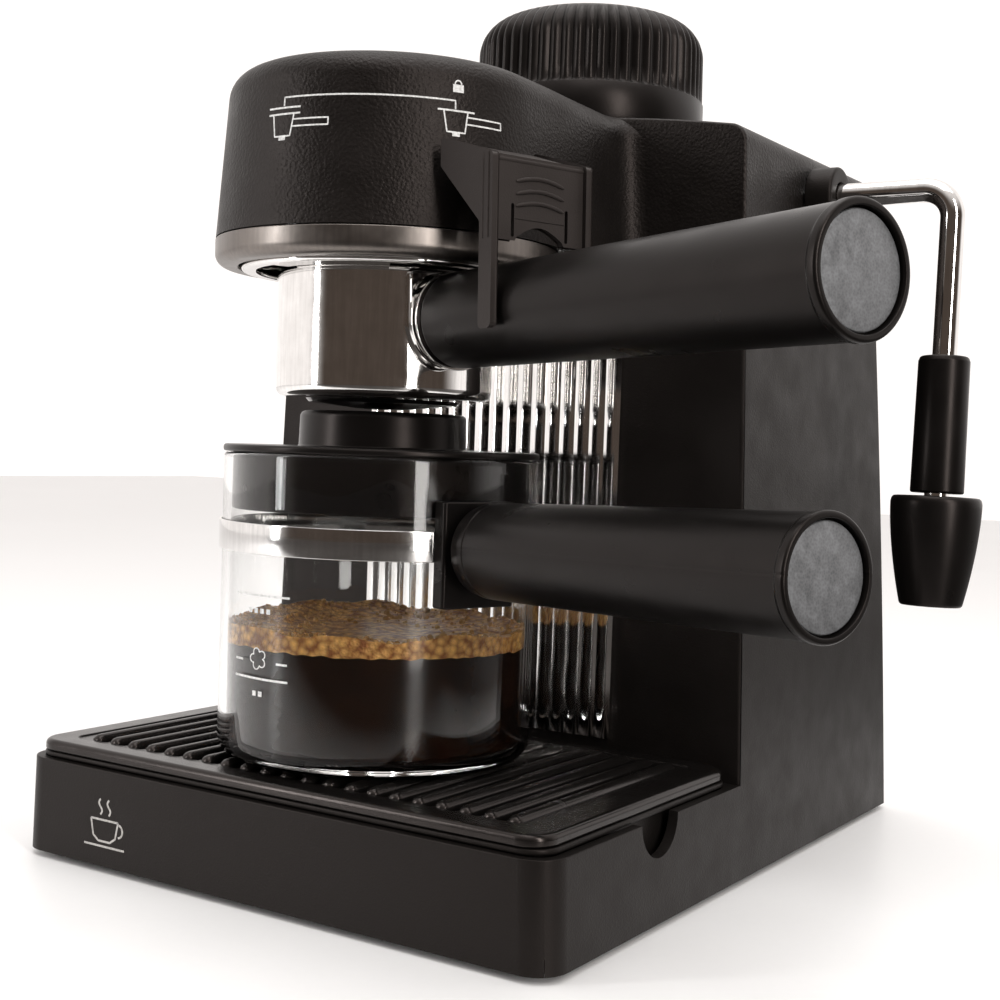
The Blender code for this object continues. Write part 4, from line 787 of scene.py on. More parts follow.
def carve(item, shape, operation="DIFFERENCE"):
    """Cut or join a drawn shape with an exact Boolean and keep the result as the piece's mesh."""
    mesh = bpy.data.meshes.new("tool")
    mesh.from_pydata((np.asarray(shape[0]) + ORIGIN).tolist(), [], shape[1])
    work = bmesh.new()
    work.from_mesh(mesh)
    bmesh.ops.remove_doubles(work, verts=work.verts, dist=WELD)
    bmesh.ops.recalc_face_normals(work, faces=work.faces)
    work.to_mesh(mesh)
    work.free()
    mesh.shade_smooth()
    mesh.set_sharp_from_angle(angle=SOFT_LIMIT)
    tool = bpy.data.objects.new("tool", mesh)
    bpy.context.scene.collection.objects.link(tool)
    step = item.modifiers.new("carve", "BOOLEAN")
    step.operation = operation
    step.solver = "EXACT"
    step.object = tool
    bpy.context.view_layer.update()
    graph = bpy.context.evaluated_depsgraph_get()
    result = bpy.data.meshes.new_from_object(item.evaluated_get(graph))
    item.modifiers.remove(step)
    old = item.data
    item.data = result
    bpy.data.objects.remove(tool, do_unlink=True)
    bpy.data.meshes.remove(old)
    return item


def flat_normals(item):
    """Weighted normals, so broad faces stay flat beside their rounded edges."""
    item.data.set_sharp_from_angle(angle=SOFT_LIMIT)
    modifier = item.modifiers.new("flat_normals", "WEIGHTED_NORMAL")
    modifier.keep_sharp = True
    modifier.weight = 100
    return item


def box_shape(x_low, x_high, y_low, y_high, z_low, z_high):
    """Plain box between six planes."""
    outline = np.array([[x_low, y_low], [x_high, y_low], [x_high, y_high], [x_low, y_high]])
    return lofted([np.c_[outline, np.full(4, z)] for z in (z_low, z_high)])


def body_slice(front, margin, heights):
    """Slice of the drafted body with all sides moved in by a margin."""
    rings = []
    for height in heights:
        side = half_width(height) - margin
        back = rear(height) - margin
        rings.append([[-side, front, height], [side, front, height],
                      [side, back, height], [-side, back, height]])
    return lofted(rings)


def drill(radius, low, high, centre=(0.0, 0.0, 0.0), sides=24):
    """Round cutter between two heights."""
    return turned([(0.0, low), (radius, low), (radius, high), (0.0, high)], centre, sides)


# %% lower housing
SIDEWAYS = Matrix.Rotation(math.pi / 2, 4, "Y")
PAST_SIDE = 0.11                       # X outside the lower housing, for cutters
PAST_TOP = 0.10                        # X outside the upper housing
INSIDE_SIDE = 0.08                     # X inside the side walls
FRONT_CORNER = 0.009
COLUMN_EDGE = 0.0014
REAR_EDGE = 0.0045
RIM_EDGE = 0.0010
NEAR = 0.0005                          # a point this close to an outer face is on its edge
ON_PLANE = 0.0003                      # a point this close to a plane lies on it
RECESS_Z = (0.007, 0.0304)             # heights between which each cutter runs
UNDERSIDE_Z = (-0.002, 0.0044)
COLUMN_HOLLOW_Z = (0.0034, 0.19)
RECESS_CORNER = 0.006
RECESS_MARGIN = 0.0038                 # tray recess, in from the lower edge's half width
NOTCH_RADIUS = 0.0105
NOTCH_Y = 0.058
LAMP_HOLE = 0.0034
GLAND_HOLE = 0.0062
NECK_HOLE = 0.024
GROUP_HOLE = 0.0432
SHAFT_HOLE = 0.0033
WAND_HOLE = 0.0047


def make_main_housing():
    """Base and lower column: side outline pulled to both drafted sides, bevelled and hollowed."""
    top = drawn_box("main_housing")[1][2]
    heights = np.linspace(top, 0.0, 13)
    outline = [(0.0, 0.0), (0.0, BASE_RIM_Z), (COLUMN_FRONT_Y, BASE_RIM_Z), (COLUMN_FRONT_Y, top)]
    outline += [(rear(height), height) for height in heights]
    rings = [[(side * half_width(z), y, z) for y, z in outline] for side in (-1.0, 1.0)]
    item = piece("lower_housing", lofted(rings), GRAINED_FINE, "machine", ["main_housing"])
    bevel_where(item, lambda p: p.y < NEAR and abs(p.x) > INSIDE_SIDE, FRONT_CORNER, 10, True)
    bevel_where(item, lambda p: abs(p.y - COLUMN_FRONT_Y) < ON_PLANE and abs(p.x) > INSIDE_SIDE,
                COLUMN_EDGE, 4, True)
    bevel_where(item, lambda p: p.y > rear(top) - 0.002 and abs(p.x) > half_width(p.z) - NEAR,
                REAR_EDGE, 6, True)
    bevel_where(item, lambda p: abs(p.z - BASE_RIM_Z) < ON_PLANE and p.y < COLUMN_FRONT_Y - 0.0001
                or abs(p.z - BASE_RIM_Z) < ON_PLANE
                and abs(p.x) > half_width(BASE_RIM_Z) - ON_PLANE,
                RIM_EDGE, 3)
    inner = half_width(0.0) - RECESS_MARGIN
    recess = rounded_rectangle(-inner, inner, WALL, COLUMN_FRONT_Y - WALL, RECESS_CORNER)
    carve(item, lofted([np.c_[recess, np.full(len(recess), z)] for z in RECESS_Z]))
    carve(item, body_slice(WALL, WALL, UNDERSIDE_Z))
    carve(item, body_slice(COLUMN_FRONT_Y + WALL, WALL + 0.0002, np.linspace(*COLUMN_HOLLOW_Z, 5)))
    notch = drill(NOTCH_RADIUS, -PAST_SIDE, PAST_SIDE, sides=72)
    carve(item, placed(notch, Matrix.Translation((0.0, NOTCH_Y, BASE_RIM_Z)) @ SIDEWAYS))
    carve(item, side_holes())
    return flat_normals(item)


def side_holes():
    """Openings for the switch and the lamp in the left side and for the cord bush at the back."""
    low, high = drawn_box("switch_body")
    switch = box_shape(-PAST_SIDE, -INSIDE_SIDE, low[1] + 0.0018, high[1] - 0.0018,
                       low[2] + 0.0015, high[2] - 0.0015)
    lens_low, lens_high = drawn_box("pilot_lens")
    middle = (lens_low + lens_high) / 2
    lamp = placed(drill(LAMP_HOLE, -PAST_SIDE, -INSIDE_SIDE),
                  Matrix.Translation((0.0, middle[1], middle[2])) @ SIDEWAYS)
    bush_low, bush_high = drawn_box("cord_bush")
    middle = (bush_low + bush_high) / 2
    gland = placed(drill(GLAND_HOLE, 0.0, 0.04, sides=36),
                   Matrix.Translation((middle[0], 0.215, middle[2]))
                   @ Matrix.Rotation(-math.pi / 2, 4, "X"))
    return merged(switch, lamp, gland)


make_main_housing()
print("lower housing done")

# %% [markdown]
# ## Upper housing
# The head is a D in plan: a half circle about the brewing axis, straight sides, and concave
# fillets that run into the column's face. Its wall tapers, its top edge is a quarter round, and
# its top sinks into the crowned roof as it nears the column. Joining it to the roofed column
# block with a Boolean gives the same soft inner corners that the real mould has.

# %% upper housing
def roofed_block(margin, front, low, steps=8):
    """Upper column: roof arc with rounded shoulders, pulled from the front plane to the back face."""
    edge = 0.006 - margin
    corner_x = half_width(0.222) - margin - edge
    corner_z = float(roof(corner_x)) - margin - edge
    right = [[half_width(low) - margin, low]]
    right += arc_points((corner_x, corner_z), edge, 0.0, 84.0, steps).tolist()
    right += [[x, float(roof(x)) - margin] for x in np.linspace(corner_x * 0.9, 0.0, 9)]
    left = [[-x, z] for x, z in right[-2::-1]]
    profile = np.array(right + left)
    count = len(profile)
    soften = 0.0 if margin > 0.0 else 0.0012
    rings = []
    for angle in np.radians(np.linspace(0.0, 90.0, 4)) if soften else [0.0]:
        ring = inset(profile, soften * (1.0 - math.sin(angle)))
        ring[[0, -1], 1] = low
        rings.append(np.c_[ring[:, 0], np.full(count, front + soften * (1.0 - math.cos(angle))),
                           ring[:, 1]])
    for angle in np.radians(np.linspace(0.0, 90.0, 5)) if soften else [0.0]:
        round_back = 0.003 if soften else 0.0
        ring = inset(profile, round_back * (1.0 - math.cos(angle)))
        ring[[0, -1], 1] = low
        back = rear(ring[:, 1]) - margin - round_back * (1.0 - math.cos(math.pi / 2 - angle))
        rings.append(np.c_[ring[:, 0], back, ring[:, 1]])
    points, faces = lofted(rings, capped=False)
    last = (len(rings) - 1) * count
    for start in (0, last):
        for index in range(count // 2):
            mirror = count - 1 - index
            corners = [start + index, start + index + 1, start + mirror - 1, start + mirror]
            faces.append(list(dict.fromkeys(corners)))
    return points, faces


def head_outline(radius, margin, across, steps=40):
    """D outline moved in by a margin: half circle, straight sides, concave fillets, back line."""
    reach = radius - margin
    fillet = HEAD_FILLET + margin
    corner = COLUMN_FRONT_Y - HEAD_FILLET
    right = arc_points((0.0, BREW_Y), reach, -90.0, 0.0, steps)
    right = np.r_[right, [[reach, BREW_Y + (corner - BREW_Y) * share] for share in (0.33, 0.66)]]
    right = np.r_[right, arc_points((reach + fillet, corner), fillet, 180.0, 90.0, 12)]
    right = np.r_[right, [[reach + fillet, COLUMN_FRONT_Y + 0.008 + margin]]]
    left = right[:0:-1] * [-1.0, 1.0]
    back = np.linspace(right[-1], left[0], across)[1:-1]
    return np.r_[right, back, left]


def head_shell(margin, low, across=13):
    """Head: tapered wall, quarter-round top edge and a cap that follows the sinking top."""
    top = HEAD_TOP_Z - margin
    edge = max(HEAD_EDGE - margin, 0.002)

    def sunk(x, y, height):
        """Height lowered to the roof line as y nears the column."""
        share = np.clip((height - SEAM_Z) / (HEAD_TOP_Z - SEAM_Z), 0.0, 1.0)
        blend = np.clip((y - BREW_Y) / (COLUMN_FRONT_Y - BREW_Y), 0.0, 1.0)
        drop = (HEAD_TOP_Z - np.minimum(roof(x), HEAD_TOP_Z)) * blend * blend * (3 - 2 * blend)
        return height - drop * share

    def ring(height, extra):
        """Outline of the wall at one height, moved in by an extra amount."""
        share = np.clip((height - SEAM_Z) / (HEAD_TOP_Z - SEAM_Z), 0.0, 1.0)
        radius = HEAD_RADIUS + (HEAD_TOP_RADIUS - HEAD_RADIUS) * share
        outline = head_outline(radius, margin + extra, across)
        return np.c_[outline, sunk(outline[:, 0], outline[:, 1], height)]

    rings = [ring(height, 0.0) for height in np.linspace(low, top - edge, 6)]
    for angle in np.radians(np.linspace(10.0, 90.0, 9)):
        rings.append(ring(top - edge + edge * math.sin(angle), edge * (1.0 - math.cos(angle))))
    points, faces = lofted(rings, capped=False)
    count = len(rings[0])
    faces.append(list(range(count)))
    rim = rings[-1]
    half = (count - across + 1) // 2
    rows = np.arange(1, half + 1)
    share = np.linspace(0.0, 1.0, across)[None, :, None]
    span = rim[rows][:, None, :] * (1.0 - share) + rim[-rows][:, None, :] * share
    span[..., 2] = sunk(span[..., 0], span[..., 1], top)
    cap_start = len(points)
    cap = grid_faces(half, across, wrap_columns=False)
    faces += [[index + cap_start for index in face] for face in cap]
    start = (len(rings) - 1) * count
    points = np.r_[points, span.reshape(-1, 3)]
    faces += [[start, cap_start + column, cap_start + column + 1] for column in range(across - 1)]
    return points, faces


def make_top_housing():
    """Column block joined to the head, hollowed, with holes for neck, group, knob and wand."""
    item = piece("upper_housing", roofed_block(0.0, COLUMN_FRONT_Y, SEAM_Z), GRAINED, "machine",
                 ["top_housing"])
    carve(item, head_shell(0.0, SEAM_Z), "UNION")
    carve(item, roofed_block(WALL, COLUMN_FRONT_Y + WALL, SEAM_Z - 0.002, 4))
    carve(item, head_shell(WALL, SEAM_Z + WALL, 7))
    neck = drill(NECK_HOLE, 0.222, 0.240, (0.0, CAP_Y, 0.0), 64)
    group = drill(GROUP_HOLE, 0.180, 0.189, (0.0, BREW_Y, 0.0), 96)
    knob_y, knob_z = (drawn_box("selector_shaft")[0][1:] + drawn_box("selector_shaft")[1][1:]) / 2
    knob = placed(drill(SHAFT_HOLE, -PAST_TOP, -INSIDE_SIDE),
                  Matrix.Translation((0.0, knob_y, knob_z)) @ SIDEWAYS)
    wand = placed(drill(WAND_HOLE, INSIDE_SIDE, PAST_TOP, sides=32),
                  Matrix.Translation((0.0, WAND[1], WAND[2])) @ SIDEWAYS)
    carve(item, merged(neck, group, knob, wand))
    return flat_normals(item)


make_top_housing()
print("upper housing done")

# %% [markdown]
# ## Column trim, drip tray and grille
# The fluted strip is one long extrusion of shallow half waves: plated over, each wave squeezes the
# whole room into a narrow band, which is why it shows thin bright lines between dark ones. The tray
# is a pressed tub with a rolled flange. The grille is a plate with rows of round-topped rods and
# long slots between them; the slots are cut with one Boolean and the rods are half-ellipse bars
# with their ends tapered by the same half-ellipse rule.

# %% front trim
PANEL_FLUTES = 18
FLUTE_DEPTH = 0.0006
RIB_COUNT = 21
RIB_PITCH = 0.0076
RIB_WIDTH = 0.0042
RIB_FRONT_Y = 0.0115
RIB_BACK_Y = 0.0995


def make_panel():
    """Fluted strip: face y(x) = y0 - depth * |sin(pi * flutes * (x + w) / 2 w)|, pulled up in Z."""
    low, high = drawn_box("front_panel")
    steps = 14 * PANEL_FLUTES
    x = np.linspace(low[0], high[0], steps + 1)
    wave = np.abs(np.sin(np.pi * PANEL_FLUTES * (x - low[0]) / (high[0] - low[0])))
    face = low[1] + 0.0004 + FLUTE_DEPTH * (1.0 - wave)
    outline = np.r_[np.c_[x, face], [[high[0], high[1]], [low[0], high[1]]]]
    rings = [np.c_[outline, np.full(len(outline), z)] for z in (low[2], high[2])]
    return piece("fluted_strip", lofted(rings), FLUTED, "machine", ["front_panel"], sharp=28.0)


def levels(*steps):
    """Rings of one outline each: every step is (outline, inset, height)."""
    return [np.c_[inset(outline, move) if move else outline, np.full(len(outline), height)]
            for outline, move, height in steps]


def curl(outline, radius, height, start, end, outward=1.0, steps=5):
    """Steps of a quarter round along an outline's rim, from one angle to another in degrees."""
    angles = np.radians(np.linspace(start, end, steps + 1))
    return [(outline, radius * (1.0 - outward * math.cos(angle)), height + radius * math.sin(angle))
            for angle in angles]


def make_tray():
    """Tub wall, flange and inner tub as one closed skin with rounded rims."""
    low, high = drawn_box("drip_tray")
    wall = rounded_rectangle(-0.0886, 0.0886, 0.0050, 0.1050, 0.005)
    inner = rounded_rectangle(-0.0868, 0.0868, 0.0068, 0.1032, 0.0032)
    flange = rounded_rectangle(low[0], high[0], low[1], high[1], 0.008)
    shelf = high[2] - 0.0016
    steps = curl(wall, 0.0015, low[2] + 0.0015, -90.0, 0.0)
    steps += [(wall, 0.0, shelf - 0.0006), (wall, -0.0006, shelf)]
    steps += curl(flange, 0.0005, shelf + 0.0005, -90.0, 0.0, steps=3)
    steps += curl(flange, 0.0006, high[2] - 0.0006, 0.0, 90.0, steps=4)
    steps += [(inner, -0.0006, high[2]), (inner, 0.0, high[2] - 0.0006), (inner, 0.0, low[2] + 0.0045)]
    steps += [(inner, 0.0008, low[2] + 0.0027), (inner, 0.0025, low[2] + 0.0020)]
    return piece("drip_tray_tub", lofted(levels(*steps)), GRAINED_FINE, "machine", ["drip_tray"])


def rod(x, low, high, half_width_x, crest):
    """Round-topped bar along Y: a half ellipse whose height follows a half ellipse at both ends."""
    middle = (RIB_FRONT_Y + RIB_BACK_Y) / 2
    reach = (RIB_BACK_Y - RIB_FRONT_Y) / 2 - 0.0004
    taper = 0.0024
    run = np.radians(np.linspace(-90.0, 90.0, 9))
    ends = np.r_[-reach + taper * (1.0 + np.sin(run[:5])), reach - taper * (1.0 - np.sin(run[4:]))]
    scale = np.r_[np.cos(run[:5]), np.cos(run[4:])]
    scale = np.maximum(scale, 0.02)
    around = np.radians(np.linspace(0.0, 180.0, 13))
    rings = []
    for y, share in zip(ends, scale):
        top = np.c_[x + half_width_x * share ** 0.5 * np.cos(around), np.full(13, middle + y),
                    low + (crest - low) * share * np.sin(around)]
        foot = np.array([[x - half_width_x * share ** 0.5, middle + y, high],
                         [x + half_width_x * share ** 0.5, middle + y, high]])
        rings.append(np.r_[top, foot])
    return lofted(rings)


def make_grille():
    """Plate with rolled rim and shallow well, slots cut through, and the rods on top."""
    low, high = drawn_box("drip_grille")
    edge = rounded_rectangle(low[0], high[0], low[1], high[1], 0.008, 12)
    well = rounded_rectangle(-0.0825, 0.0825, 0.0092, 0.1016, 0.004, 12)
    plate = 0.0338
    steps = curl(edge, 0.0005, low[2] + 0.0005, -90.0, 0.0, steps=3)
    steps += curl(edge, 0.0017, plate - 0.0017, 0.0, 90.0, steps=7)
    steps += [(well, -0.0008, plate), (well, -0.0004, plate - 0.0001), (well, 0.0, plate - 0.0005)]
    item = piece("drip_grille_cover", lofted(levels(*steps)), GRILLE_BLACK, "machine",
                 ["drip_grille"])
    half_slot = (RIB_PITCH - RIB_WIDTH) / 2
    centres = RIB_PITCH * (np.arange(RIB_COUNT - 1) - (RIB_COUNT - 2) / 2)
    slots = [levels((rounded_rectangle(x - half_slot, x + half_slot, RIB_FRONT_Y, RIB_BACK_Y,
                                       0.0014, 5), 0.0, 0.028)) for x in centres]
    cutters = []
    for ring in slots:
        upper = ring[0] + [0.0, 0.0, 0.009]
        cutters.append(lofted([ring[0], upper]))
    carve(item, merged(*cutters))
    rods = [rod(x, plate - 0.0010, plate - 0.0022, RIB_WIDTH / 2 + 0.0001, high[2])
            for x in RIB_PITCH * (np.arange(RIB_COUNT) - (RIB_COUNT - 1) / 2)]
    flat_normals(item)
    bars = piece("drip_grille_rods", merged(*rods), GRILLE_BLACK, "machine", sharp=50.0)
    return item, bars


make_panel()
make_tray()
make_grille()
print("front trim done")

# %% [markdown]
# ## Brewing group and filter holder
# Everything here is turned about the vertical brewing axis, except three bayonet ledges above, three
# lugs on the cup, and the U-shaped boss that joins the cup to the handle. The boss is a prism whose
# section is a half circle under straight cheeks; it is joined to the cup before the cup is hollowed,
# so the inside stays round. A small radius on the cup's rim and foot gives plating its bright line.

# %% brewing group
BREW = (0.0, BREW_Y, 0.0)
CUP_RADIUS = 0.0320
CUP_INNER = 0.0297
CUP_LOW_Z = 0.1400
CUP_TOP_Z = 0.1836
RING_CORNER = 0.0045
RING_BORE = 0.0436
RING_RADIUS = 0.0504
LEDGE_TOP_Z = 0.1794
LEDGE_SPAN = 58.0                      # degrees of arc
LUG_LOW_Z = 0.1798
LUG_SPAN = 40.0
CUP_OUTLET = 0.0040
SCREEN_HOLE = 0.0005
SCREEN_PITCH = 0.0026


def arc_block(inner, outer, low, high, middle, span, edge=0.0004):
    """Sector of a flat ring about the brewing axis with softened edges."""
    half = span / 2
    outline = np.r_[arc_points((0.0, BREW_Y), outer, middle - half, middle + half, 24),
                    arc_points((0.0, BREW_Y), inner, middle + half, middle - half, 24)]
    return slab(outline, low, high, edge, 2)


def sector_angles():
    """Middle angles of the three ledges and lugs, in degrees from +X."""
    return math.degrees(HANDLE_ANGLE) + 60.0 + 120.0 * np.arange(3)


def make_group():
    """Trim ring under the head, casting with ledges, and gasket."""
    low, high = drawn_box("group_ring")
    ring = rounded([(RING_BORE, low[2]), (RING_RADIUS, low[2]), (RING_RADIUS, high[2]),
                    (RING_BORE, high[2])],
                   [0.0006, RING_CORNER, 0.0004, 0.0003], 10, closed=True)
    piece("group_trim_ring", turned(ring, BREW, 160), RING_GREY, "machine", ["group_ring"])
    low, high = drawn_box("group_head")
    casting = rounded([(0.0030, high[2] - 0.0027), (0.0382, high[2] - 0.0027), (0.0382, low[2]),
                       (0.0428, low[2]), (0.0428, high[2]), (0.0030, high[2])],
                      [0.0, 0.0012, 0.0008, 0.0010, 0.0006, 0.0], 6, closed=True)
    item = piece("group_casting", turned(casting, BREW, 144), CHROME, "machine", ["group_head"])
    for middle in sector_angles():
        carve(item, arc_block(0.0334, 0.0396, low[2] + 0.0001, LEDGE_TOP_Z, middle, LEDGE_SPAN),
              "UNION")
    flat_normals(item)
    low, high = drawn_box("group_gasket")
    seal = rounded([(0.0240, low[2]), (0.0318, low[2]), (0.0318, high[2]), (0.0240, high[2])],
                   0.0007, 5, closed=True)
    piece("group_seal", turned(seal, BREW, 96), RUBBER, "machine", ["group_gasket"])


def screen_plate():
    """Shower screen: shallow dish punched with rings of small holes."""
    low, high = drawn_box("shower_screen")
    dish = [(0.0, low[2]), (0.0200, low[2]), (0.0236, high[2] - 0.0006), (0.0236, high[2]),
            (0.0195, low[2] + 0.0007), (0.0, low[2] + 0.0007)]
    item = piece("shower_plate", turned(dish, BREW, 72), STEEL, "machine", ["shower_screen"])
    holes = []
    for number in range(1, 8):
        radius = SCREEN_PITCH * number
        for angle in np.arange(6 * number) * 2.0 * math.pi / (6 * number):
            spot = (radius * math.cos(angle), BREW_Y + radius * math.sin(angle), 0.0)
            holes.append(drill(SCREEN_HOLE, 0.184, 0.188, spot, 8))
    carve(item, merged(*holes))
    return flat_normals(item)


def boss_shape():
    """U-section prism along the handle: half circle below, straight cheeks and a flat top."""
    frame = handle_frame(BREW_Y, FILTER_AXIS_Z, FILTER_TILT)
    rings = []
    for reach, radius in ((0.0240, 0.0124), (0.0300, 0.0126), (0.0318, 0.0130), (0.0326, 0.0132),
                          (0.0331, 0.0130), (0.0333, 0.0124)):
        top = 0.0141 - (0.0132 - radius)
        under = arc_points((0.0, 0.0), radius, -90.0, -270.0, 28)
        section = np.r_[under, [[top * 0.6, radius], [top - 0.0014, radius],
                                [top - 0.0004, radius - 0.0004], [top, radius - 0.0014],
                                [top, 0.0], [top, -radius + 0.0014],
                                [top - 0.0004, -radius + 0.0004], [top - 0.0014, -radius],
                                [top * 0.6, -radius]]]
        rings.append(np.c_[section, np.full(len(section), reach)])
    stud = turned([(0.0, 0.0320), (0.0030, 0.0320), (0.0030, 0.0497), (0.0027, 0.0500),
                   (0.0, 0.0500)], sides=24)
    return placed(lofted(rings), frame), placed(stud, frame)


def make_cup():
    """Plated cup: solid turning, lugs and boss joined on, then hollowed and pierced."""
    outer = rounded([(0.0, CUP_LOW_Z), (CUP_RADIUS, CUP_LOW_Z), (CUP_RADIUS, CUP_TOP_Z),
                     (0.0, CUP_TOP_Z)], [0.0, 0.0030, 0.0005, 0.0], 10)
    item = piece("plated_cup", turned(outer, BREW, 176), CHROME, "filter_holder", ["filter_cup"])
    for middle in sector_angles():
        carve(item, arc_block(0.0306, 0.0376, LUG_LOW_Z, CUP_TOP_Z - 0.0001, middle, LUG_SPAN),
              "UNION")
    for shape in boss_shape():
        carve(item, shape, "UNION")
    cavity = rounded([(0.0, 0.1424), (CUP_INNER, 0.1424), (CUP_INNER, 0.1900), (0.0, 0.1900)],
                     [0.0, 0.0020, 0.0, 0.0], 6)
    carve(item, turned(cavity, BREW, 180))
    carve(item, drill(CUP_OUTLET, 0.1380, 0.1440, BREW, 48))
    return flat_normals(item)


def make_filter_parts():
    """Basket with its rolled rim and the drip cone under the cup."""
    low, high = drawn_box("filter_basket")
    basket = rounded([(0.0, low[2]), (0.0262, low[2]), (0.0270, high[2] - 0.0007),
                      (0.0312, high[2] - 0.0007), (0.0312, high[2]), (0.0263, high[2]),
                      (0.0255, low[2] + 0.0008), (0.0, low[2] + 0.0008)],
                     [0.0, 0.0028, 0.0004, 0.0003, 0.0003, 0.0006, 0.0022, 0.0], 6)
    piece("coffee_basket", turned(basket, BREW, 120), STEEL, "filter_holder", ["filter_basket"])
    low, high = drawn_box("filter_spout")
    cone = rounded([(0.0020, low[2]), (0.0060, low[2]), (0.0220, 0.1386), (0.0230, 0.1397),
                    (0.0037, 0.1397), (0.0037, high[2]), (0.0020, high[2])],
                   [0.0003, 0.0008, 0.0003, 0.0, 0.0, 0.0003, 0.0], 4, closed=True)
    piece("drip_cone", turned(cone, BREW, 96), GLOSS, "filter_holder", ["filter_spout"])


make_group()
screen_plate()
make_cup()
make_filter_parts()
print("brewing group done")

# %% [markdown]
# ## Handles
# Both handles are turned about a slightly rising axis. The outline is a long gentle taper with a
# proud rim at the far end, a recess for the silver inlay, and a counterbore for the bolt that runs
# down the middle. The jug's handle is moulded in two halves, so it keeps a hairline parting groove
# on either side and a ring groove near the neck: ripple() lowers the radius in a narrow bell round
# those two angles.

# %% handles
HANDLE_FRAMES = {"filter": handle_frame(BREW_Y, FILTER_AXIS_Z, FILTER_TILT),
                 "jug": handle_frame(JUG_Y, JUG_AXIS_Z, JUG_TILT)}


def parting_groove(radius, height, angle):
    """Two hairline grooves at the sides of the outer skin."""
    groove = 0.0
    for side in (-1.0, 1.0):
        away = np.abs((angle - side * math.radians(86.0) + math.pi) % (2.0 * math.pi) - math.pi)
        groove = groove + np.exp(-(away / 0.011) ** 2)
    return np.where(radius > 0.0122, -0.00022, 0.0) * groove


def make_grip(name, start, end, start_radius, end_radius, disc_radius, neck, grooved, body):
    """Handle body and its silver inlay."""
    frame = HANDLE_FRAMES[name]
    lip = end_radius + 0.0004
    seat = disc_radius + 0.0003
    bore = 0.0034
    taper = (end_radius - start_radius) / (end - start)
    groove_at = start + 0.0085
    shell = [(bore, start), (start_radius - 0.0012, start), (start_radius, start + neck)]
    radii = [0.0, min(neck, 0.0012), 0.0008]
    if grooved:
        shell = [(bore, start), (start_radius - 0.0032, start), (start_radius - 0.0008, start + 0.0022),
                 (start_radius, start + neck)]
        radii = [0.0, 0.0012, 0.0040, 0.0060]
        near = start_radius + taper * (groove_at - start)
        shell += [(near, groove_at - 0.0003), (near - 0.00022, groove_at),
                  (near, groove_at + 0.0003)]
        radii += [0.0001, 0.0001, 0.0001]
    for step in np.linspace(0.15, 0.85, 6):
        shell.append((start_radius + taper * (end - start) * step, start + (end - start) * step))
        radii.append(0.0)
    shell += [(end_radius, end - 0.0030), (lip, end - 0.0022), (lip, end), (seat, end),
              (seat, end - 0.0028), (0.0064, end - 0.0028), (0.0064, end - 0.0140),
              (bore, end - 0.0140)]
    radii += [0.0010, 0.0006, 0.0009, 0.0003, 0.0, 0.0003, 0.0, 0.0]
    profile = rounded(shell, radii, 6, closed=True)
    sides = 320 if grooved else 144
    shape = placed(turned(profile, sides=sides, ripple=parting_groove if grooved else None), frame)
    piece(f"{name}_grip", shape, SATIN, body, [f"{name}_handle"])
    disc = rounded([(0.0, end - 0.0025), (disc_radius - 0.0002, end - 0.0025),
                    (disc_radius - 0.0002, end - 0.0011), (0.0, end - 0.0008)],
                   [0.0, 0.0002, 0.0004, 0.0], 4)
    piece(f"{name}_inlay", placed(turned(disc, sides=128), frame), SILVER_DISC, body,
          [f"{name}_end_disc"])


make_grip("filter", start=0.0375, end=0.180, start_radius=0.0133, end_radius=0.0145,
          disc_radius=0.0128, neck=0.0012, grooved=False, body="filter_holder")
make_grip("jug", start=0.0519, end=0.174, start_radius=0.0130, end_radius=0.01375,
          disc_radius=0.0122, neck=0.0062, grooved=True, body="jug")
FERRULE = rounded([(0.0034, 0.0343), (0.0118, 0.0343), (0.0138, 0.0362), (0.0139, 0.0372),
                   (0.0034, 0.0372)], [0.0, 0.0006, 0.0012, 0.0002, 0.0], 5, closed=True)
piece("flared_ferrule", placed(turned(FERRULE, sides=128), HANDLE_FRAMES["filter"]), CHROME,
      "filter_holder", ["handle_ferrule"])
print("handles done")

# %% [markdown]
# ## Thumb guard
# The guard folds over the filter handle and holds the basket while it is emptied. It is a thin
# moulding: an upright plate with an arch and two slots, side cheeks that reach down past the handle,
# and a hood that leans back. Each part is a flat slab with soft edges, joined with Booleans; the
# three grip ridges are half-round bars swept along shallow arches.

# %% thumb guard
GUARD_HALF = 0.0164
GUARD_CHEEK = 0.0143
GUARD_LOW = 0.0185
GUARD_HIGH = 0.0385
GUARD_FACE = GUARD_T + 0.0013
HOOD_RISE = 0.0455
HOOD_T = GUARD_T - 0.0200


def upright_plate():
    """Front plate in (rise, across) coordinates with the arch along its lower edge."""
    across = np.linspace(-0.0076, 0.0076, 25)
    arch = np.c_[GUARD_LOW + 0.0030 * np.cos(math.pi * across / 0.0152), across]
    outline = np.r_[[[GUARD_HIGH, -GUARD_HALF], [GUARD_LOW - 0.0010, -GUARD_HALF],
                     [GUARD_LOW - 0.0010, -0.0082]], arch,
                    [[GUARD_LOW - 0.0010, 0.0082], [GUARD_LOW - 0.0010, GUARD_HALF],
                     [GUARD_HIGH, GUARD_HALF]]]
    return slab(outline, GUARD_T - 0.0010, GUARD_FACE, 0.0003, 2)


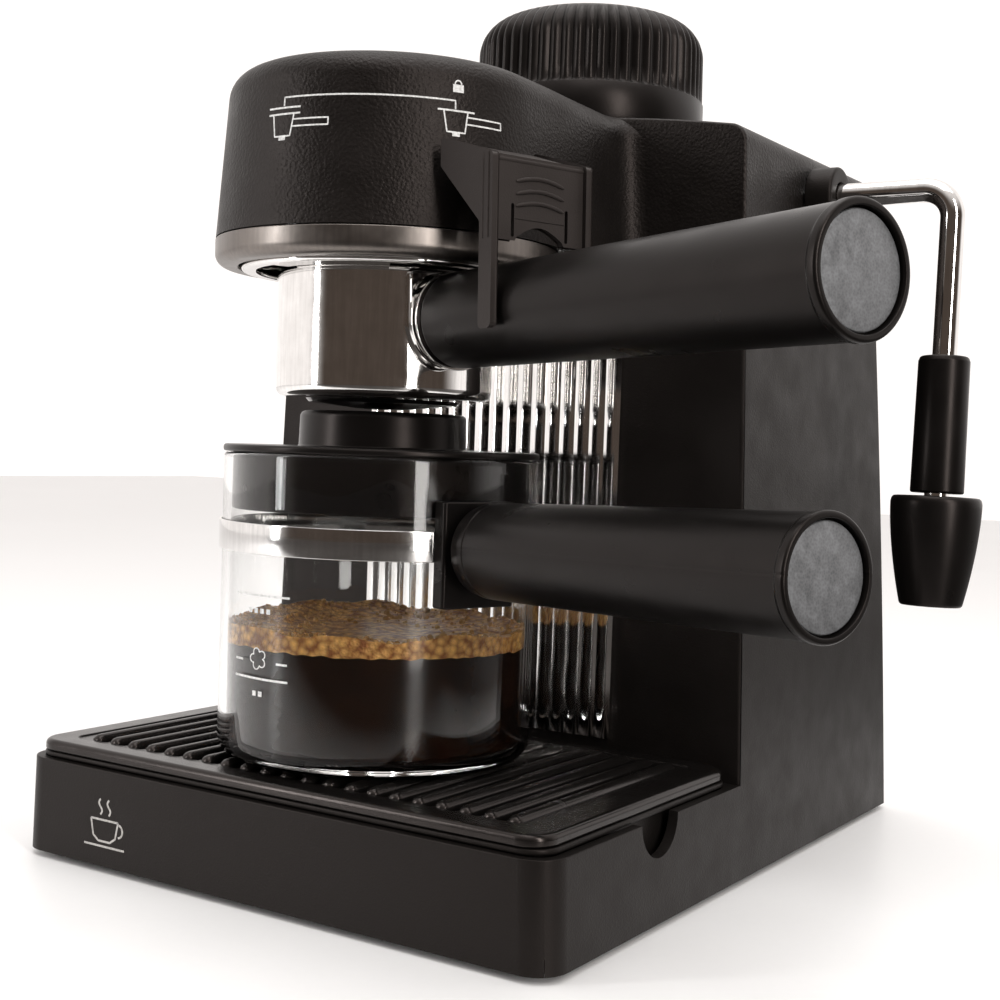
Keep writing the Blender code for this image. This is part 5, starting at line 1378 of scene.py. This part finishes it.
def cheek(side):
    """Side plate in (rise, along) coordinates, pulled across by its thickness."""
    outline = rounded([(-0.0052, GUARD_T - 0.0023), (GUARD_LOW + 0.0035, GUARD_T - 0.0023),
                       (HOOD_RISE - 0.0070, HOOD_T), (HOOD_RISE, HOOD_T),
                       (GUARD_HIGH, GUARD_T + 0.0023), (-0.0052, GUARD_T + 0.0023)],
                      [0.0012, 0.0020, 0.0008, 0.0006, 0.0010, 0.0012], 6, closed=True)
    shape = slab(outline[::-1], -0.00105, 0.00105, 0.0004, 3)
    middle = side * (GUARD_CHEEK + GUARD_HALF) / 2
    local = np.array([[1.0, 0.0, 0.0, 0.0], [0.0, 0.0, 1.0, middle], [0.0, 1.0, 0.0, 0.0],
                      [0.0, 0.0, 0.0, 1.0]])
    return placed(shape, local)


def hood():
    """Sloping cover between the cheeks' upper edges."""
    profile = rounded([(GUARD_HIGH - 0.0024, GUARD_FACE - 0.0006),
                       (GUARD_HIGH - 0.0004, GUARD_FACE + 0.0006),
                       (HOOD_RISE - 0.0003, HOOD_T + 0.0002), (HOOD_RISE - 0.0024, HOOD_T + 0.0002)],
                      [0.0, 0.0008, 0.0005, 0.0004], 4, closed=True)
    span = GUARD_HALF - 0.0003
    rings = [np.c_[profile[:, 0], np.full(len(profile), y), profile[:, 1]] for y in (-span, span)]
    return lofted(rings)


def ridge(rise):
    """Half-round grip bar along a shallow arch, thinning to nothing at both ends."""
    across = np.linspace(-0.0078, 0.0078, 41)
    height = rise + 0.0013 * np.cos(math.pi * across / 0.0156)
    share = np.sqrt(np.clip(1.0 - (across / 0.0080) ** 8, 0.0, 1.0))
    around = np.arange(14) * 2.0 * math.pi / 14
    rings = []
    for y, x, scale in zip(across, height, share):
        rings.append(np.c_[x + 0.00062 * scale * np.cos(around), np.full(14, y),
                           GUARD_FACE + 0.00048 * scale * np.sin(around)])
    return lofted(rings)


def make_guard():
    """Guard joined from its slabs, slotted, with ridges on its face and two pivot stubs."""
    frame = HANDLE_FRAMES["filter"]
    item = piece("folding_guard", placed(upright_plate(), frame), MATTE, "guard", ["thumb_guard"])
    for shape in (cheek(-1.0), cheek(1.0), hood()):
        carve(item, placed(shape, frame), "UNION")
    slots = []
    for side in (-1.0, 1.0):
        outline = rounded_rectangle(GUARD_LOW - 0.0004, GUARD_LOW + 0.0082, side * 0.0088 - 0.0005,
                                    side * 0.0088 + 0.0005, 0.00045, 4)
        slots.append(lofted([np.c_[outline, np.full(len(outline), z)]
                             for z in (GUARD_T - 0.004, GUARD_T + 0.004)]))
    line = rounded_rectangle(GUARD_LOW + 0.0041, GUARD_LOW + 0.0044, -0.0080, 0.0080, 0.0001, 2)
    slots.append(lofted([np.c_[line, np.full(len(line), z)]
                         for z in (GUARD_FACE - 0.00025, GUARD_FACE + 0.001)]))
    carve(item, placed(merged(*slots), frame))
    flat_normals(item)
    bars = [ridge(rise) for rise in (GUARD_LOW + 0.0076, GUARD_LOW + 0.0107, GUARD_LOW + 0.0139)]
    stubs = [placed(turned([(0.0, -0.0012), (0.0013, -0.0012), (0.0015, -0.0008), (0.0015, 0.0008),
                            (0.0, 0.0008)], sides=24),
                    Matrix.Translation((0.0, side * 0.0137, GUARD_T))
                    @ Matrix.Rotation(side * math.pi / 2, 4, "X")) for side in (-1.0, 1.0)]
    piece("guard_ridges", placed(merged(*bars, *stubs), frame), MATTE, "guard")


make_guard()
print("thumb guard done")

# %% [markdown]
# ## Jug
# The glass is one closed skin, outside and inside, because light has to enter and leave real walls
# to bend properly. The pouring lip is a bell-shaped bulge about one direction that grows towards the
# rim. Coffee stops a hair short of the glass. The crema is a wavy disc, high against the wall, with
# several hundred real bubbles packed along the glass and scattered over the top.

# %% jug
JUG = (0.0, JUG_Y, 0.0)
LIP_ANGLE = HANDLE_ANGLE + math.pi
JUG_INNER = JUG_RADIUS - JUG_WALL
COFFEE_Z = 0.0695
CREMA_RIM = 0.0042


def lip_bulge(radius, height, angle):
    """Added radius: lip * smooth(height) * exp(-(angle from the lip / 0.22) squared)."""
    away = (angle - LIP_ANGLE + math.pi) % (2.0 * math.pi) - math.pi
    rise = np.clip((height - 0.1100) / (JUG_TOP_Z - 0.1100), 0.0, 1.0)
    return 0.0045 * rise * rise * np.exp(-(away / 0.22) ** 2) * (radius > 0.030)


def make_glass():
    """Jug wall with rounded foot, thickened base and fire-polished rim."""
    wall = [(JUG_RADIUS, z) for z in np.linspace(0.1085, JUG_TOP_Z - 0.0015, 8)]
    inside = [(JUG_INNER, z) for z in np.linspace(JUG_TOP_Z - 0.0015, 0.1085, 8)]
    outline = [(0.0, JUG_BOTTOM_Z + 0.0006), (0.0330, JUG_BOTTOM_Z + 0.0006), (0.0360, JUG_BOTTOM_Z),
               (JUG_RADIUS, JUG_BOTTOM_Z)] + wall + [(JUG_RADIUS, JUG_TOP_Z), (JUG_INNER, JUG_TOP_Z)]
    outline += inside + [(JUG_INNER, JUG_BOTTOM_Z + 0.0028), (0.0, JUG_BOTTOM_Z + 0.0031)]
    radii = [0.0, 0.0010, 0.0010, 0.0050] + [0.0] * 8 + [0.00105, 0.00105] + [0.0] * 8
    radii += [0.0038, 0.0]
    profile = rounded(outline, radii, 8)
    piece("glass_jug", turned(profile, JUG, 240, lip_bulge), GLASS, "jug", ["jug_glass"],
          sharp=60.0)


def make_coffee():
    """Body of the coffee, a hair inside the glass, with its meniscus."""
    reach = JUG_INNER - 0.00012
    floor = JUG_BOTTOM_Z + 0.0033
    profile = rounded([(0.0, floor), (reach, floor), (reach, COFFEE_Z), (0.0, COFFEE_Z - 0.0006)],
                      [0.0, 0.0037, 0.0004, 0.0], 8)
    piece("coffee", turned(profile, JUG, 180), COFFEE, "jug", sharp=60.0)


def swirl(x, y, seed, scale):
    """Sum of six plane waves with fixed random directions: smooth, repeatable unevenness."""
    source = np.random.default_rng(seed)
    total = np.zeros_like(x)
    for direction, stretch, shift in zip(source.uniform(0.0, 2.0 * math.pi, 6),
                                         source.uniform(0.6, 1.6, 6),
                                         source.uniform(0.0, 2.0 * math.pi, 6)):
        total += np.sin((x * math.cos(direction) + y * math.sin(direction)) * stretch / scale + shift)
    return total / 6.0


def crema_height(radius, angle):
    """Foam top: a rim that climbs the glass, sinking to a thin skin in the middle."""
    x = radius * np.cos(angle)
    y = radius * np.sin(angle)
    share = np.clip(radius / JUG_INNER, 0.0, 1.0)
    rim = CREMA_RIM * (0.12 + 0.88 * share ** 5)
    wave = 0.0011 * swirl(x, y, 3, 0.0042) + 0.0005 * swirl(x, y, 5, 0.0016)
    return COFFEE_Z + 0.0006 + rim * (1.0 + 0.22 * swirl(x, y, 9, 0.012)) + wave * (0.35 + share)


def make_crema():
    """Wavy foam disc; its under side hangs below the coffee line in small scallops."""
    sides = 360
    steps = 70
    reach = JUG_INNER - 0.00006
    angles = np.arange(sides) * 2.0 * math.pi / sides
    radius = (reach * np.linspace(0.0, 1.0, steps) ** 0.8)[:, None] + np.zeros((1, sides))
    turn = angles[None, :] + np.zeros((steps, 1))
    top = np.stack([radius * np.cos(turn), radius * np.sin(turn), crema_height(radius, turn)], -1)
    edge = top[-1].copy()
    drop = 0.0006 * (1.0 + swirl(edge[:, 0], edge[:, 1], 21, 0.0011))
    edge[:, 2] = COFFEE_Z - 0.0002 - drop
    centre = np.tile([0.0, 0.0, COFFEE_Z - 0.0004], (sides, 1))
    rows = np.concatenate([top, edge[None], centre[None]])
    points = rows.reshape(-1, 3) + np.array(JUG)
    piece("crema", (points, grid_faces(len(rows), sides)), FOAM, "jug", sharp=75.0)


def ball():
    """Small sphere: icosahedron, divided once and pushed out to radius one."""
    work = bmesh.new()
    bmesh.ops.create_icosphere(work, subdivisions=2, radius=1.0)
    points = np.array([vert.co[:] for vert in work.verts])
    faces = [[vert.index for vert in face.verts] for face in work.faces]
    work.free()
    return points, faces


def make_bubbles():
    """Bubbles against the glass and over the foam: radius drawn from a squared random number."""
    source = np.random.default_rng(12)
    count_wall = 900
    count_top = 520
    angles = source.uniform(0.0, 2.0 * math.pi, count_wall + count_top)
    size = 0.00022 + 0.00085 * source.random(count_wall + count_top) ** 3
    at_wall = np.arange(count_wall + count_top) < count_wall
    radius = np.where(at_wall, JUG_INNER - 0.00008 - size,
                      (JUG_INNER - 0.0015) * np.sqrt(source.uniform(0.20, 0.97, len(size))))
    top = crema_height(radius, angles)
    share = source.random(len(size)) ** 0.7
    height = np.where(at_wall, COFFEE_Z - 0.0003 + (top - COFFEE_Z + 0.0006) * share,
                      top + size * 0.35)
    centre = np.stack([radius * np.cos(angles), radius * np.sin(angles), height], -1) + np.array(JUG)
    unit, faces = ball()
    points = (unit[None] * size[:, None, None] + centre[:, None, :]).reshape(-1, 3)
    offsets = np.arange(len(size))[:, None, None] * len(unit)
    quads = (np.array(faces)[None] + offsets).reshape(-1, 3).tolist()
    piece("crema_bubbles", (points, quads), BUBBLE, "jug", sharp=180.0)


make_glass()
make_coffee()
make_crema()
make_bubbles()
print("glass and coffee done")

# %% [markdown]
# ## Lid, strap and bracket
# The lid is one turning: a flange over the rim, a skirt inside the glass, a raised knob and a funnel
# down to the pouring hole. The strap is a rolled steel band; the bracket is a block with a hollow
# face that sits on the band and carries the handle.

# %% lid and strap
def make_lid():
    """Lid profile with every corner rounded."""
    low, high = drawn_box("jug_lid")
    reach = (high[0] - low[0]) / 2
    profile = rounded([(0.0060, 0.1215), (0.0420, 0.1215), (0.0420, low[2]), (0.0439, low[2]),
                       (0.0439, 0.1234), (reach, 0.1234), (reach, 0.1255), (0.0250, 0.1255),
                       (0.0247, high[2]), (0.0212, high[2]), (0.0060, 0.1330)],
                      [0.0004, 0.0006, 0.0006, 0.0006, 0.0002, 0.0007, 0.0009, 0.0006, 0.0018, 0.0008,
                       0.0008], 7, closed=True)
    piece("jug_cover", turned(profile, JUG, 180), SATIN, "lid", ["jug_lid"])


def make_strap():
    """Steel band with softened edges and its bracket block."""
    low, high = drawn_box("jug_strap")
    reach = (high[0] - low[0]) / 2
    band = rounded([(JUG_RADIUS + 0.0003, low[2]), (reach, low[2]), (reach, high[2]),
                    (JUG_RADIUS + 0.0003, high[2])], 0.00022, 4, closed=True)
    piece("steel_band", turned(band, JUG, 200), STEEL_STRAP, "jug", ["jug_strap"])
    low, high = drawn_box("jug_bracket")
    angle = math.degrees(HANDLE_ANGLE)
    spread = math.degrees(math.asin(0.012 / 0.048))
    outline = arc_points((0.0, 0.0), 0.0478, angle - spread, angle + spread, 16)
    corners = rounded([(0.0478, 0.012), (0.0508, 0.012), (0.0508, -0.012), (0.0478, -0.012)],
                      0.0010, 5)[1:-1]
    turn = np.array([[math.cos(HANDLE_ANGLE), math.sin(HANDLE_ANGLE)],
                     [-math.sin(HANDLE_ANGLE), math.cos(HANDLE_ANGLE)]])
    outline = np.r_[outline, corners @ turn]
    outline = outline[::-1] + [0.0, JUG_Y]
    item = piece("bracket_block", slab(outline, low[2], high[2], 0.0006, 3), SATIN, "jug",
                 ["jug_bracket"])
    carve(item, placed(drill(0.0026, 0.040, 0.060, sides=32), HANDLE_FRAMES["jug"]))
    return flat_normals(item)


make_lid()
make_strap()
print("lid and strap done")

# %% [markdown]
# ## Boiler cap
# Sixty ribs run over a rounded shoulder. Each rib is convex with a narrow valley, so the radius drops
# by depth * (1 - |cos(ribs * angle / 2)|) raised to a power: the power sharpens the valley. The ribs
# start at a smooth band and fade out on top. Underneath are the hollow skirt and the threaded plug.

# %% boiler cap
CAP_RIBS = 60
CAP_BAND_Z = 0.2500
RIB_DEPTH = 0.0012


def cap_ribs(radius, height, angle):
    """Rib relief on the outer skin between the band and the top."""
    valley = (1.0 - np.abs(np.cos(CAP_RIBS * angle / 2.0))) ** 0.9
    lower = np.clip((height - CAP_BAND_Z) / 0.0007, 0.0, 1.0)
    upper = np.clip((CAP_TOP_Z - 0.0003 - height) / 0.0022, 0.0, 1.0)
    outer = radius > 0.0250
    return -RIB_DEPTH * valley * lower * upper * outer


def make_cap():
    """Cap as one closed profile: skirt, hollow, plug, valve seat and ribbed shoulder."""
    round_over = 0.0125
    ribbed = CAP_RADIUS - 0.0006
    shoulder = arc_points((ribbed - round_over, CAP_TOP_Z - round_over), round_over, 0.0, 90.0, 22)
    wall = [(ribbed + 0.0002 * share, CAP_BAND_Z + 0.0010 + 0.0140 * (1.0 - share))
            for share in (1.0, 0.66, 0.33)]
    low = drawn_box("boiler_cap")[0][2]
    skirt = [(0.0181, 0.2400), (0.0181, 0.2720), (0.0368, 0.2700), (0.0376, low + 0.0004),
             (0.0380, low), (CAP_RADIUS - 0.0005, low), (CAP_RADIUS, low + 0.0005),
             (CAP_RADIUS, CAP_BAND_Z - 0.0003), (CAP_RADIUS - 0.0003, CAP_BAND_Z)]
    top = [(0.0120, CAP_TOP_Z + 0.0001), (0.0060, CAP_TOP_Z), (0.0054, CAP_TOP_Z - 0.0006),
           (0.0054, 0.2748), (0.0031, 0.2742), (0.0031, 0.2400)]
    profile = np.r_[skirt, wall, shoulder, top]
    piece("ribbed_cap", turned(profile, (0.0, CAP_Y, 0.0), 840, cap_ribs), SATIN, "cap",
          ["boiler_cap"], sharp=50.0)


make_cap()
print("cap done")

# %% [markdown]
# ## Steam wand
# A bent plated tube comes out of a collar in the side, with a moulded sleeve to hold it by and a
# pull-off frothing nozzle whose outline is a power curve: full at the shoulder, slimmer at the mouth.

# %% steam wand
def wand_matrix():
    """Frame of the wand: origin on its swivel line, local Z down the leaning tube."""
    return axis_frame(WAND, (0.0, -math.sin(WAND_LEAN), -math.cos(WAND_LEAN)))


def make_wand():
    """Collar, tube and sleeve."""
    low, high = drawn_box("wand_collar")
    collar = rounded([(0.0042, low[0]), (0.0092, low[0]), (0.0092, high[0]), (0.0042, high[0])],
                     [0.0, 0.0004, 0.0011, 0.0006], 6, closed=True)
    across = Matrix.Translation((0.0, WAND[1], WAND[2])) @ SIDEWAYS
    piece("wand_bush", placed(turned(collar, sides=96), across), GRAINED_FINE, "machine",
          ["wand_collar"])
    down = np.array([0.0, -math.sin(WAND_LEAN), -math.cos(WAND_LEAN)])
    side = np.array([1.0, 0.0, 0.0])
    bend = 0.009
    centre = WAND - side * bend + down * bend
    start = drawn_box("steam_tube")[0][0]
    turn = np.radians(np.linspace(0.0, 90.0, 25))[:, None]
    path = np.r_[[[start, WAND[1], WAND[2]], [start + 0.004, WAND[1], WAND[2]],
                  [centre[0] - 0.004, WAND[1], WAND[2]]],
                 centre + side * bend * np.sin(turn) - down * bend * np.cos(turn),
                 [WAND + down * 0.014, WAND + down * 0.060, WAND + down * 0.1098]]
    piece("plated_tube", swept(path, circle(0.00375, 40)), CHROME, "wand", ["steam_tube"],
          sharp=50.0)
    sleeve = rounded([(0.0041, 0.0520), (0.0072, 0.0520), (0.0078, 0.0535), (0.0081, 0.0943),
                      (0.0041, 0.0943)], [0.0, 0.0009, 0.0010, 0.0007, 0.0], 5, closed=True)
    piece("grip_sleeve", placed(turned(sleeve, sides=96), wand_matrix()), SATIN, "wand",
          ["wand_sleeve"])


def make_nozzle():
    """Nozzle: radius r(s) = r0 - (r0 - r1) * s ** 1.7 between shoulder and mouth."""
    shoulder = 0.0953
    mouth = 0.1291
    share = np.linspace(0.0, 1.0, 26)
    widest = 0.01375
    narrowest = 0.0096
    outer = np.c_[widest - (widest - narrowest) * share ** 1.7,
                  shoulder + 0.0020 + (mouth - shoulder - 0.0030) * share]
    profile = np.r_[[[0.0041, shoulder], [0.0121, shoulder], [0.0128, shoulder + 0.0001],
                     [0.0133, shoulder + 0.0005], [0.0136, shoulder + 0.0012]], outer,
                    [[0.0094, mouth - 0.0004], [0.0089, mouth], [0.0074, mouth],
                     [0.0070, mouth - 0.0005], [0.0070, mouth - 0.0160],
                     [0.0041, mouth - 0.0170]]]
    piece("frothing_nozzle", placed(turned(profile, sides=128), wand_matrix()), SATIN, "nozzle",
          ["froth_nozzle"])


make_wand()
make_nozzle()
print("wand done")

# %% [markdown]
# ## Controls on the left side
# A round selector with a grip bar, a rocker in its bezel and a pilot lamp. The bar is a slab with a
# generous edge; the rocker is an arc-backed prism with two dished faces meeting in a ridge.

# %% controls
LEFTWARD = Matrix.Rotation(-math.pi / 2, 4, "Y")


def make_selector():
    """Knob disc with knurled rim and grip bar."""
    low, high = drawn_box("selector_knob")
    middle = (low + high) / 2
    frame = Matrix.Translation((0.0, middle[1], middle[2])) @ LEFTWARD
    base = -high[0]
    disc = rounded([(0.0, base), (0.0160, base), (0.0160, base + 0.0072), (0.0, base + 0.0072)],
                   [0.0, 0.0005, 0.0012, 0.0], 6)

    def knurl(radius, height, angle):
        """Fine ribs round the rim."""
        return np.where(radius > 0.0156, -0.00025, 0.0) * (0.5 + 0.5 * np.cos(48 * angle))

    item = piece("selector_dial", placed(turned(disc, sides=480, ripple=knurl), frame), SATIN,
                 "selector", ["selector_knob"])
    outline = rounded_rectangle(-0.0150, 0.0150, -0.0032, 0.0032, 0.0024, 8)
    bar = slab(outline, base + 0.0040, base + 0.0165, 0.0016, 6)
    carve(item, placed(bar, frame), "UNION")
    flat_normals(item)
    mark = slab(rounded_rectangle(0.0060, 0.0135, -0.0006, 0.0006, 0.0005, 4), base + 0.0163,
                base + 0.01656, 0.00003, 1)
    piece("selector_mark", placed(mark, frame), INK, "selector")


def make_switch():
    """Bezel with its well, and the rocker."""
    low, high = drawn_box("switch_body")
    middle = (low + high) / 2
    frame = Matrix.Translation((0.0, middle[1], middle[2])) @ LEFTWARD
    face = -low[0] - 0.0014
    deep = -high[0]
    flange = rounded_rectangle(-0.0090, 0.0090, -0.0138, 0.0138, 0.0016, 6)
    body = rounded_rectangle(-0.0072, 0.0072, -0.0117, 0.0117, 0.0010, 6)
    well = rounded_rectangle(-0.0060, 0.0060, -0.0104, 0.0104, 0.0008, 6)
    steps = [(body, 0.0, deep), (body, 0.0, face), (flange, 0.0003, face)]
    steps += curl(flange, 0.0007, face + 0.0007, 0.0, 90.0, steps=4)
    steps += [(well, -0.0005, face + 0.0014), (well, -0.0001, face + 0.0012), (well, 0.0, face + 0.0008),
              (well, 0.0, deep + 0.0030)]
    piece("switch_bezel", placed(lofted(levels(*steps)), frame), GLOSS, "machine", ["switch_body"])
    low, high = drawn_box("power_rocker")
    middle = (low + high) / 2
    off = math.radians(-7.0)
    outline = np.r_[arc_points((0.0, 0.0), 0.0097, 200.0, 340.0, 40),
                    rounded([(0.0091, 0.0034), (0.0052, 0.0024), (0.0, 0.0022), (-0.0052, 0.0024),
                             (-0.0091, 0.0034)], [0.0, 0.004, 0.0006, 0.004, 0.0], 5)]
    turned_y = outline[:, 0] * math.cos(off) - outline[:, 1] * math.sin(off)
    turned_x = outline[:, 0] * math.sin(off) + outline[:, 1] * math.cos(off)
    centre_x = -half_width(0.060 - 0.009) - 0.0003 + 0.0015
    rings = []
    for height, shrink in ((-0.0056, 0.93), (-0.0053, 0.985), (-0.0048, 1.0), (0.0048, 1.0),
                           (0.0053, 0.985), (0.0056, 0.93)):
        rings.append(np.c_[centre_x - turned_x * shrink, middle[1] + turned_y * shrink,
                           np.full(len(outline), middle[2] + height)])
    piece("rocker_cap", lofted(rings), GLOSS, "rocker", ["power_rocker"])


make_selector()
make_switch()
print("controls done")

# %% [markdown]
# ## Screen prints
# White pictograms are laid on as thin closed ribbons, a few hundredths of a millimetre proud. A path
# is drawn in (angle, height) on the head or the jug, or in (x, z) on the base, widened in the
# surface's own plane, and pushed out along the surface's normal. The signs are generic: two holder
# positions with a padlock over the locked one, measuring lines with dots, a cloud of steam and, on
# the base, a small cup.

# %% prints
PRINT_LIFT = 0.00006
PRINT_SINK = 0.00004


def on_head(along, height, lift):
    """Head surface: along is arc length from the front towards +X at the seam's radius."""
    share = np.clip((height - SEAM_Z) / (HEAD_TOP_Z - SEAM_Z), 0.0, 1.0)
    radius = HEAD_RADIUS + (HEAD_TOP_RADIUS - HEAD_RADIUS) * share + lift
    angle = along / HEAD_RADIUS
    return np.stack([radius * np.sin(angle), BREW_Y - radius * np.cos(angle), height], -1)


def on_jug(along, height, lift):
    """Jug surface: along is arc length from the front towards +X."""
    radius = JUG_RADIUS + lift
    angle = along / JUG_RADIUS
    return np.stack([radius * np.sin(angle), JUG_Y - radius * np.cos(angle), height], -1)


def on_base(along, height, lift):
    """Front face of the base."""
    return np.stack([along, np.zeros_like(along) - lift, height], -1)


def resampled(path, spacing=0.0006):
    """Path with extra points, so that it bends with a curved surface."""
    path = np.asarray(path, float)
    parts = []
    for start, end in zip(path[:-1], path[1:]):
        count = max(1, int(np.ceil(np.linalg.norm(end - start) / spacing)))
        parts.append(start + (end - start) * np.linspace(0.0, 1.0, count, endpoint=False)[:, None])
    return np.r_[np.concatenate(parts), path[-1:]]


def stroke(path, width, surface, closed=False):
    """Ribbon of a width along a path: left and right edges, lifted above and sunk below."""
    path = resampled(np.r_[path, path[:1]] if closed else path)
    if closed:
        path = path[:-1]
        ahead = np.roll(path, -1, 0) - np.roll(path, 1, 0)
    else:
        ahead = np.gradient(path, axis=0)
    ahead /= np.linalg.norm(ahead, axis=1)[:, None]
    aside = np.stack([-ahead[:, 1], ahead[:, 0]], 1) * width / 2
    left = path + aside
    right = path - aside
    ring = [surface(left[:, 0], left[:, 1], PRINT_LIFT), surface(right[:, 0], right[:, 1], PRINT_LIFT),
            surface(right[:, 0], right[:, 1], -PRINT_SINK), surface(left[:, 0], left[:, 1], -PRINT_SINK)]
    return lofted(np.stack(ring, 1), capped=not closed, wrap=closed)


def degrees_on(radius, pairs):
    """(degrees, height) pairs as (arc length, height)."""
    pairs = np.asarray(pairs, float)
    return np.c_[np.radians(pairs[:, 0]) * radius, pairs[:, 1]]


def head_arc(pairs):
    """(degrees, height) pairs on the head."""
    return degrees_on(HEAD_RADIUS, pairs)


def jug_arc(pairs):
    """(degrees, height) pairs on the jug."""
    return degrees_on(JUG_RADIUS, pairs)


def holder_sign(centre, plate_z, handle_end, plates):
    """Cup with its spout, plate lines above and the outline of a handle to the right."""
    thin = 0.00042
    shapes = [stroke(head_arc([(centre - 6.2, z), (centre + 6.6, z)]), 0.0005, on_head)
              for z in plates]
    cup = [(centre - 4.2, plate_z), (centre - 3.1, plate_z - 0.0058), (centre + 3.1, plate_z - 0.0058),
           (centre + 4.2, plate_z)]
    shapes.append(stroke(head_arc(cup), thin, on_head))
    spout = [(centre - 1.3, plate_z - 0.0064), (centre + 1.3, plate_z - 0.0064)]
    shapes.append(stroke(head_arc(spout), 0.0010, on_head))
    grip = [(centre + 4.0, plate_z - 0.0014), (centre + handle_end, plate_z - 0.0014),
            (centre + handle_end, plate_z - 0.0033), (centre + 3.8, plate_z - 0.0033)]
    shapes.append(stroke(head_arc(grip), thin, on_head))
    return shapes


def padlock_sign(centre, low):
    """Padlock: a filled body under a round shackle."""
    reach = 0.00165
    body = head_arc([(centre, low), (centre, low + 0.0021)])
    middle = body[0, 0]
    across = np.array([[middle - reach, low + 0.00105], [middle + reach, low + 0.00105]])
    shackle = arc_points((middle, low + 0.0022), 0.0010, 0.0, 180.0, 14)
    return [stroke(across, 0.0021, on_head), stroke(shackle, 0.0004, on_head)]


def make_head_print():
    """Both holder positions, the line that joins them and the padlock."""
    joined = [(0.6, 0.2169), (0.6, 0.2192), (58.2, 0.2192), (58.2, 0.2169)]
    shapes = [stroke(head_arc(joined), 0.00045, on_head)]
    shapes += holder_sign(0.5, 0.2145, 16.7, (0.2164, 0.2147))
    shapes += holder_sign(58.4, 0.2165, 17.0, (0.2165,))
    shapes += padlock_sign(59.2, 0.2215)
    piece("head_print", merged(*shapes), INK, "machine", sharp=60.0)


def make_jug_print():
    """Measuring lines with dots beside them and a cloud of steam with its dashes."""
    shapes = [stroke(jug_arc([(-20.0, z), (6.6, z)]), 0.0006, on_jug) for z in (0.0840, 0.0609)]
    for height, count in ((0.0797, 4), (0.0567, 2)):
        for number in range(count):
            middle = -7.0 + 3.0 * (number - (count - 1) / 2)
            dot = jug_arc([(middle - 0.85, height), (middle + 0.85, height)])
            shapes.append(stroke(dot, 0.0014, on_jug))
    puffs = []
    for angle in np.radians(np.linspace(70.0, 430.0, 73)[:-1]):
        reach = 0.0019 + 0.0013 * abs(math.sin(2.5 * angle)) ** 0.7
        puffs.append([math.radians(-7.0) * JUG_RADIUS + reach * math.cos(angle),
                      0.0664 + reach * 0.95 * math.sin(angle)])
    shapes.append(stroke(np.array(puffs), 0.00035, on_jug, closed=True))
    for start, end in ((-20.0, -15.4), (1.6, 6.2)):
        shapes.append(stroke(jug_arc([(start, 0.0656), (end, 0.0656)]), 0.0006, on_jug))
    piece("jug_print", merged(*shapes), INK, "jug", sharp=60.0)


def make_base_print():
    """Small cup with a saucer and two curls of steam on the left of the base's front."""
    middle = np.array([-0.0580, 0.0114])
    size = 1.35
    line = 0.0006

    def drawn(points):
        """Points of the sign at its size and place."""
        return middle + size * np.array(points)

    cup = drawn([(-0.0042, 0.0018), (-0.0034, -0.0018), (-0.0018, -0.0029),
                 (0.0018, -0.0029), (0.0034, -0.0018), (0.0042, 0.0018)])
    handle = drawn(arc_points((0.0042, 0.0), 0.0014, 80.0, -85.0, 12))
    saucer = drawn([(-0.0062, -0.0040), (0.0062, -0.0040)])
    shapes = [stroke(path, line, on_base) for path in (cup, handle, saucer, cup[[0, -1]])]
    rise = np.linspace(0.0, 1.0, 15)
    for shift in (-0.0013, 0.0013):
        curl_path = drawn(np.c_[shift + 0.0005 * np.sin(rise * 2.0 * math.pi), 0.0029 + 0.0034 * rise])
        shapes.append(stroke(curl_path, line, on_base))
    piece("base_print", merged(*shapes), INK_SOFT, "machine", sharp=60.0)


make_head_print()
make_jug_print()
make_base_print()
print("prints done")

# %% [markdown]
# ## Pieces that keep their CAD shape
# Feet, screws, the base plate, the boiler and the pipes are seen from below or behind, or only with
# the cap off. Their CAD shapes are already right, so they only take a finish, by the record's slot.

# %% finishes for the rest
FINISH_OF_SLOT = {"black_textured": GRAINED_FINE, "black_gloss": GLOSS, "black_satin": SATIN,
                  "black_matte": MATTE, "chrome": CHROME, "grey_ring": RING_GREY,
                  "silver_disc": SILVER_DISC, "steel": STEEL, "polished_steel": STEEL_STRAP,
                  "aluminium": CAST, "brass": BRASS, "rubber": RUBBER, "clear_glass": GLASS,
                  "red_lens": LENS}


def node_slots():
    """Slot name of every node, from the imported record."""
    record = frame["record"]
    return {part["node"]: part["material_slot"] for part in record["subparts"]}


def dress_nodes():
    """Give every CAD node the finish of its slot."""
    slots = node_slots()
    for name, item in frame["nodes"].items():
        finish = FINISH_OF_SLOT[slots[name]]
        item.data.materials.clear()
        item.data.materials.append(finish)
        item.data.set_sharp_from_angle(angle=math.radians(32.0))
    return len(slots)


print("dressed:", dress_nodes())
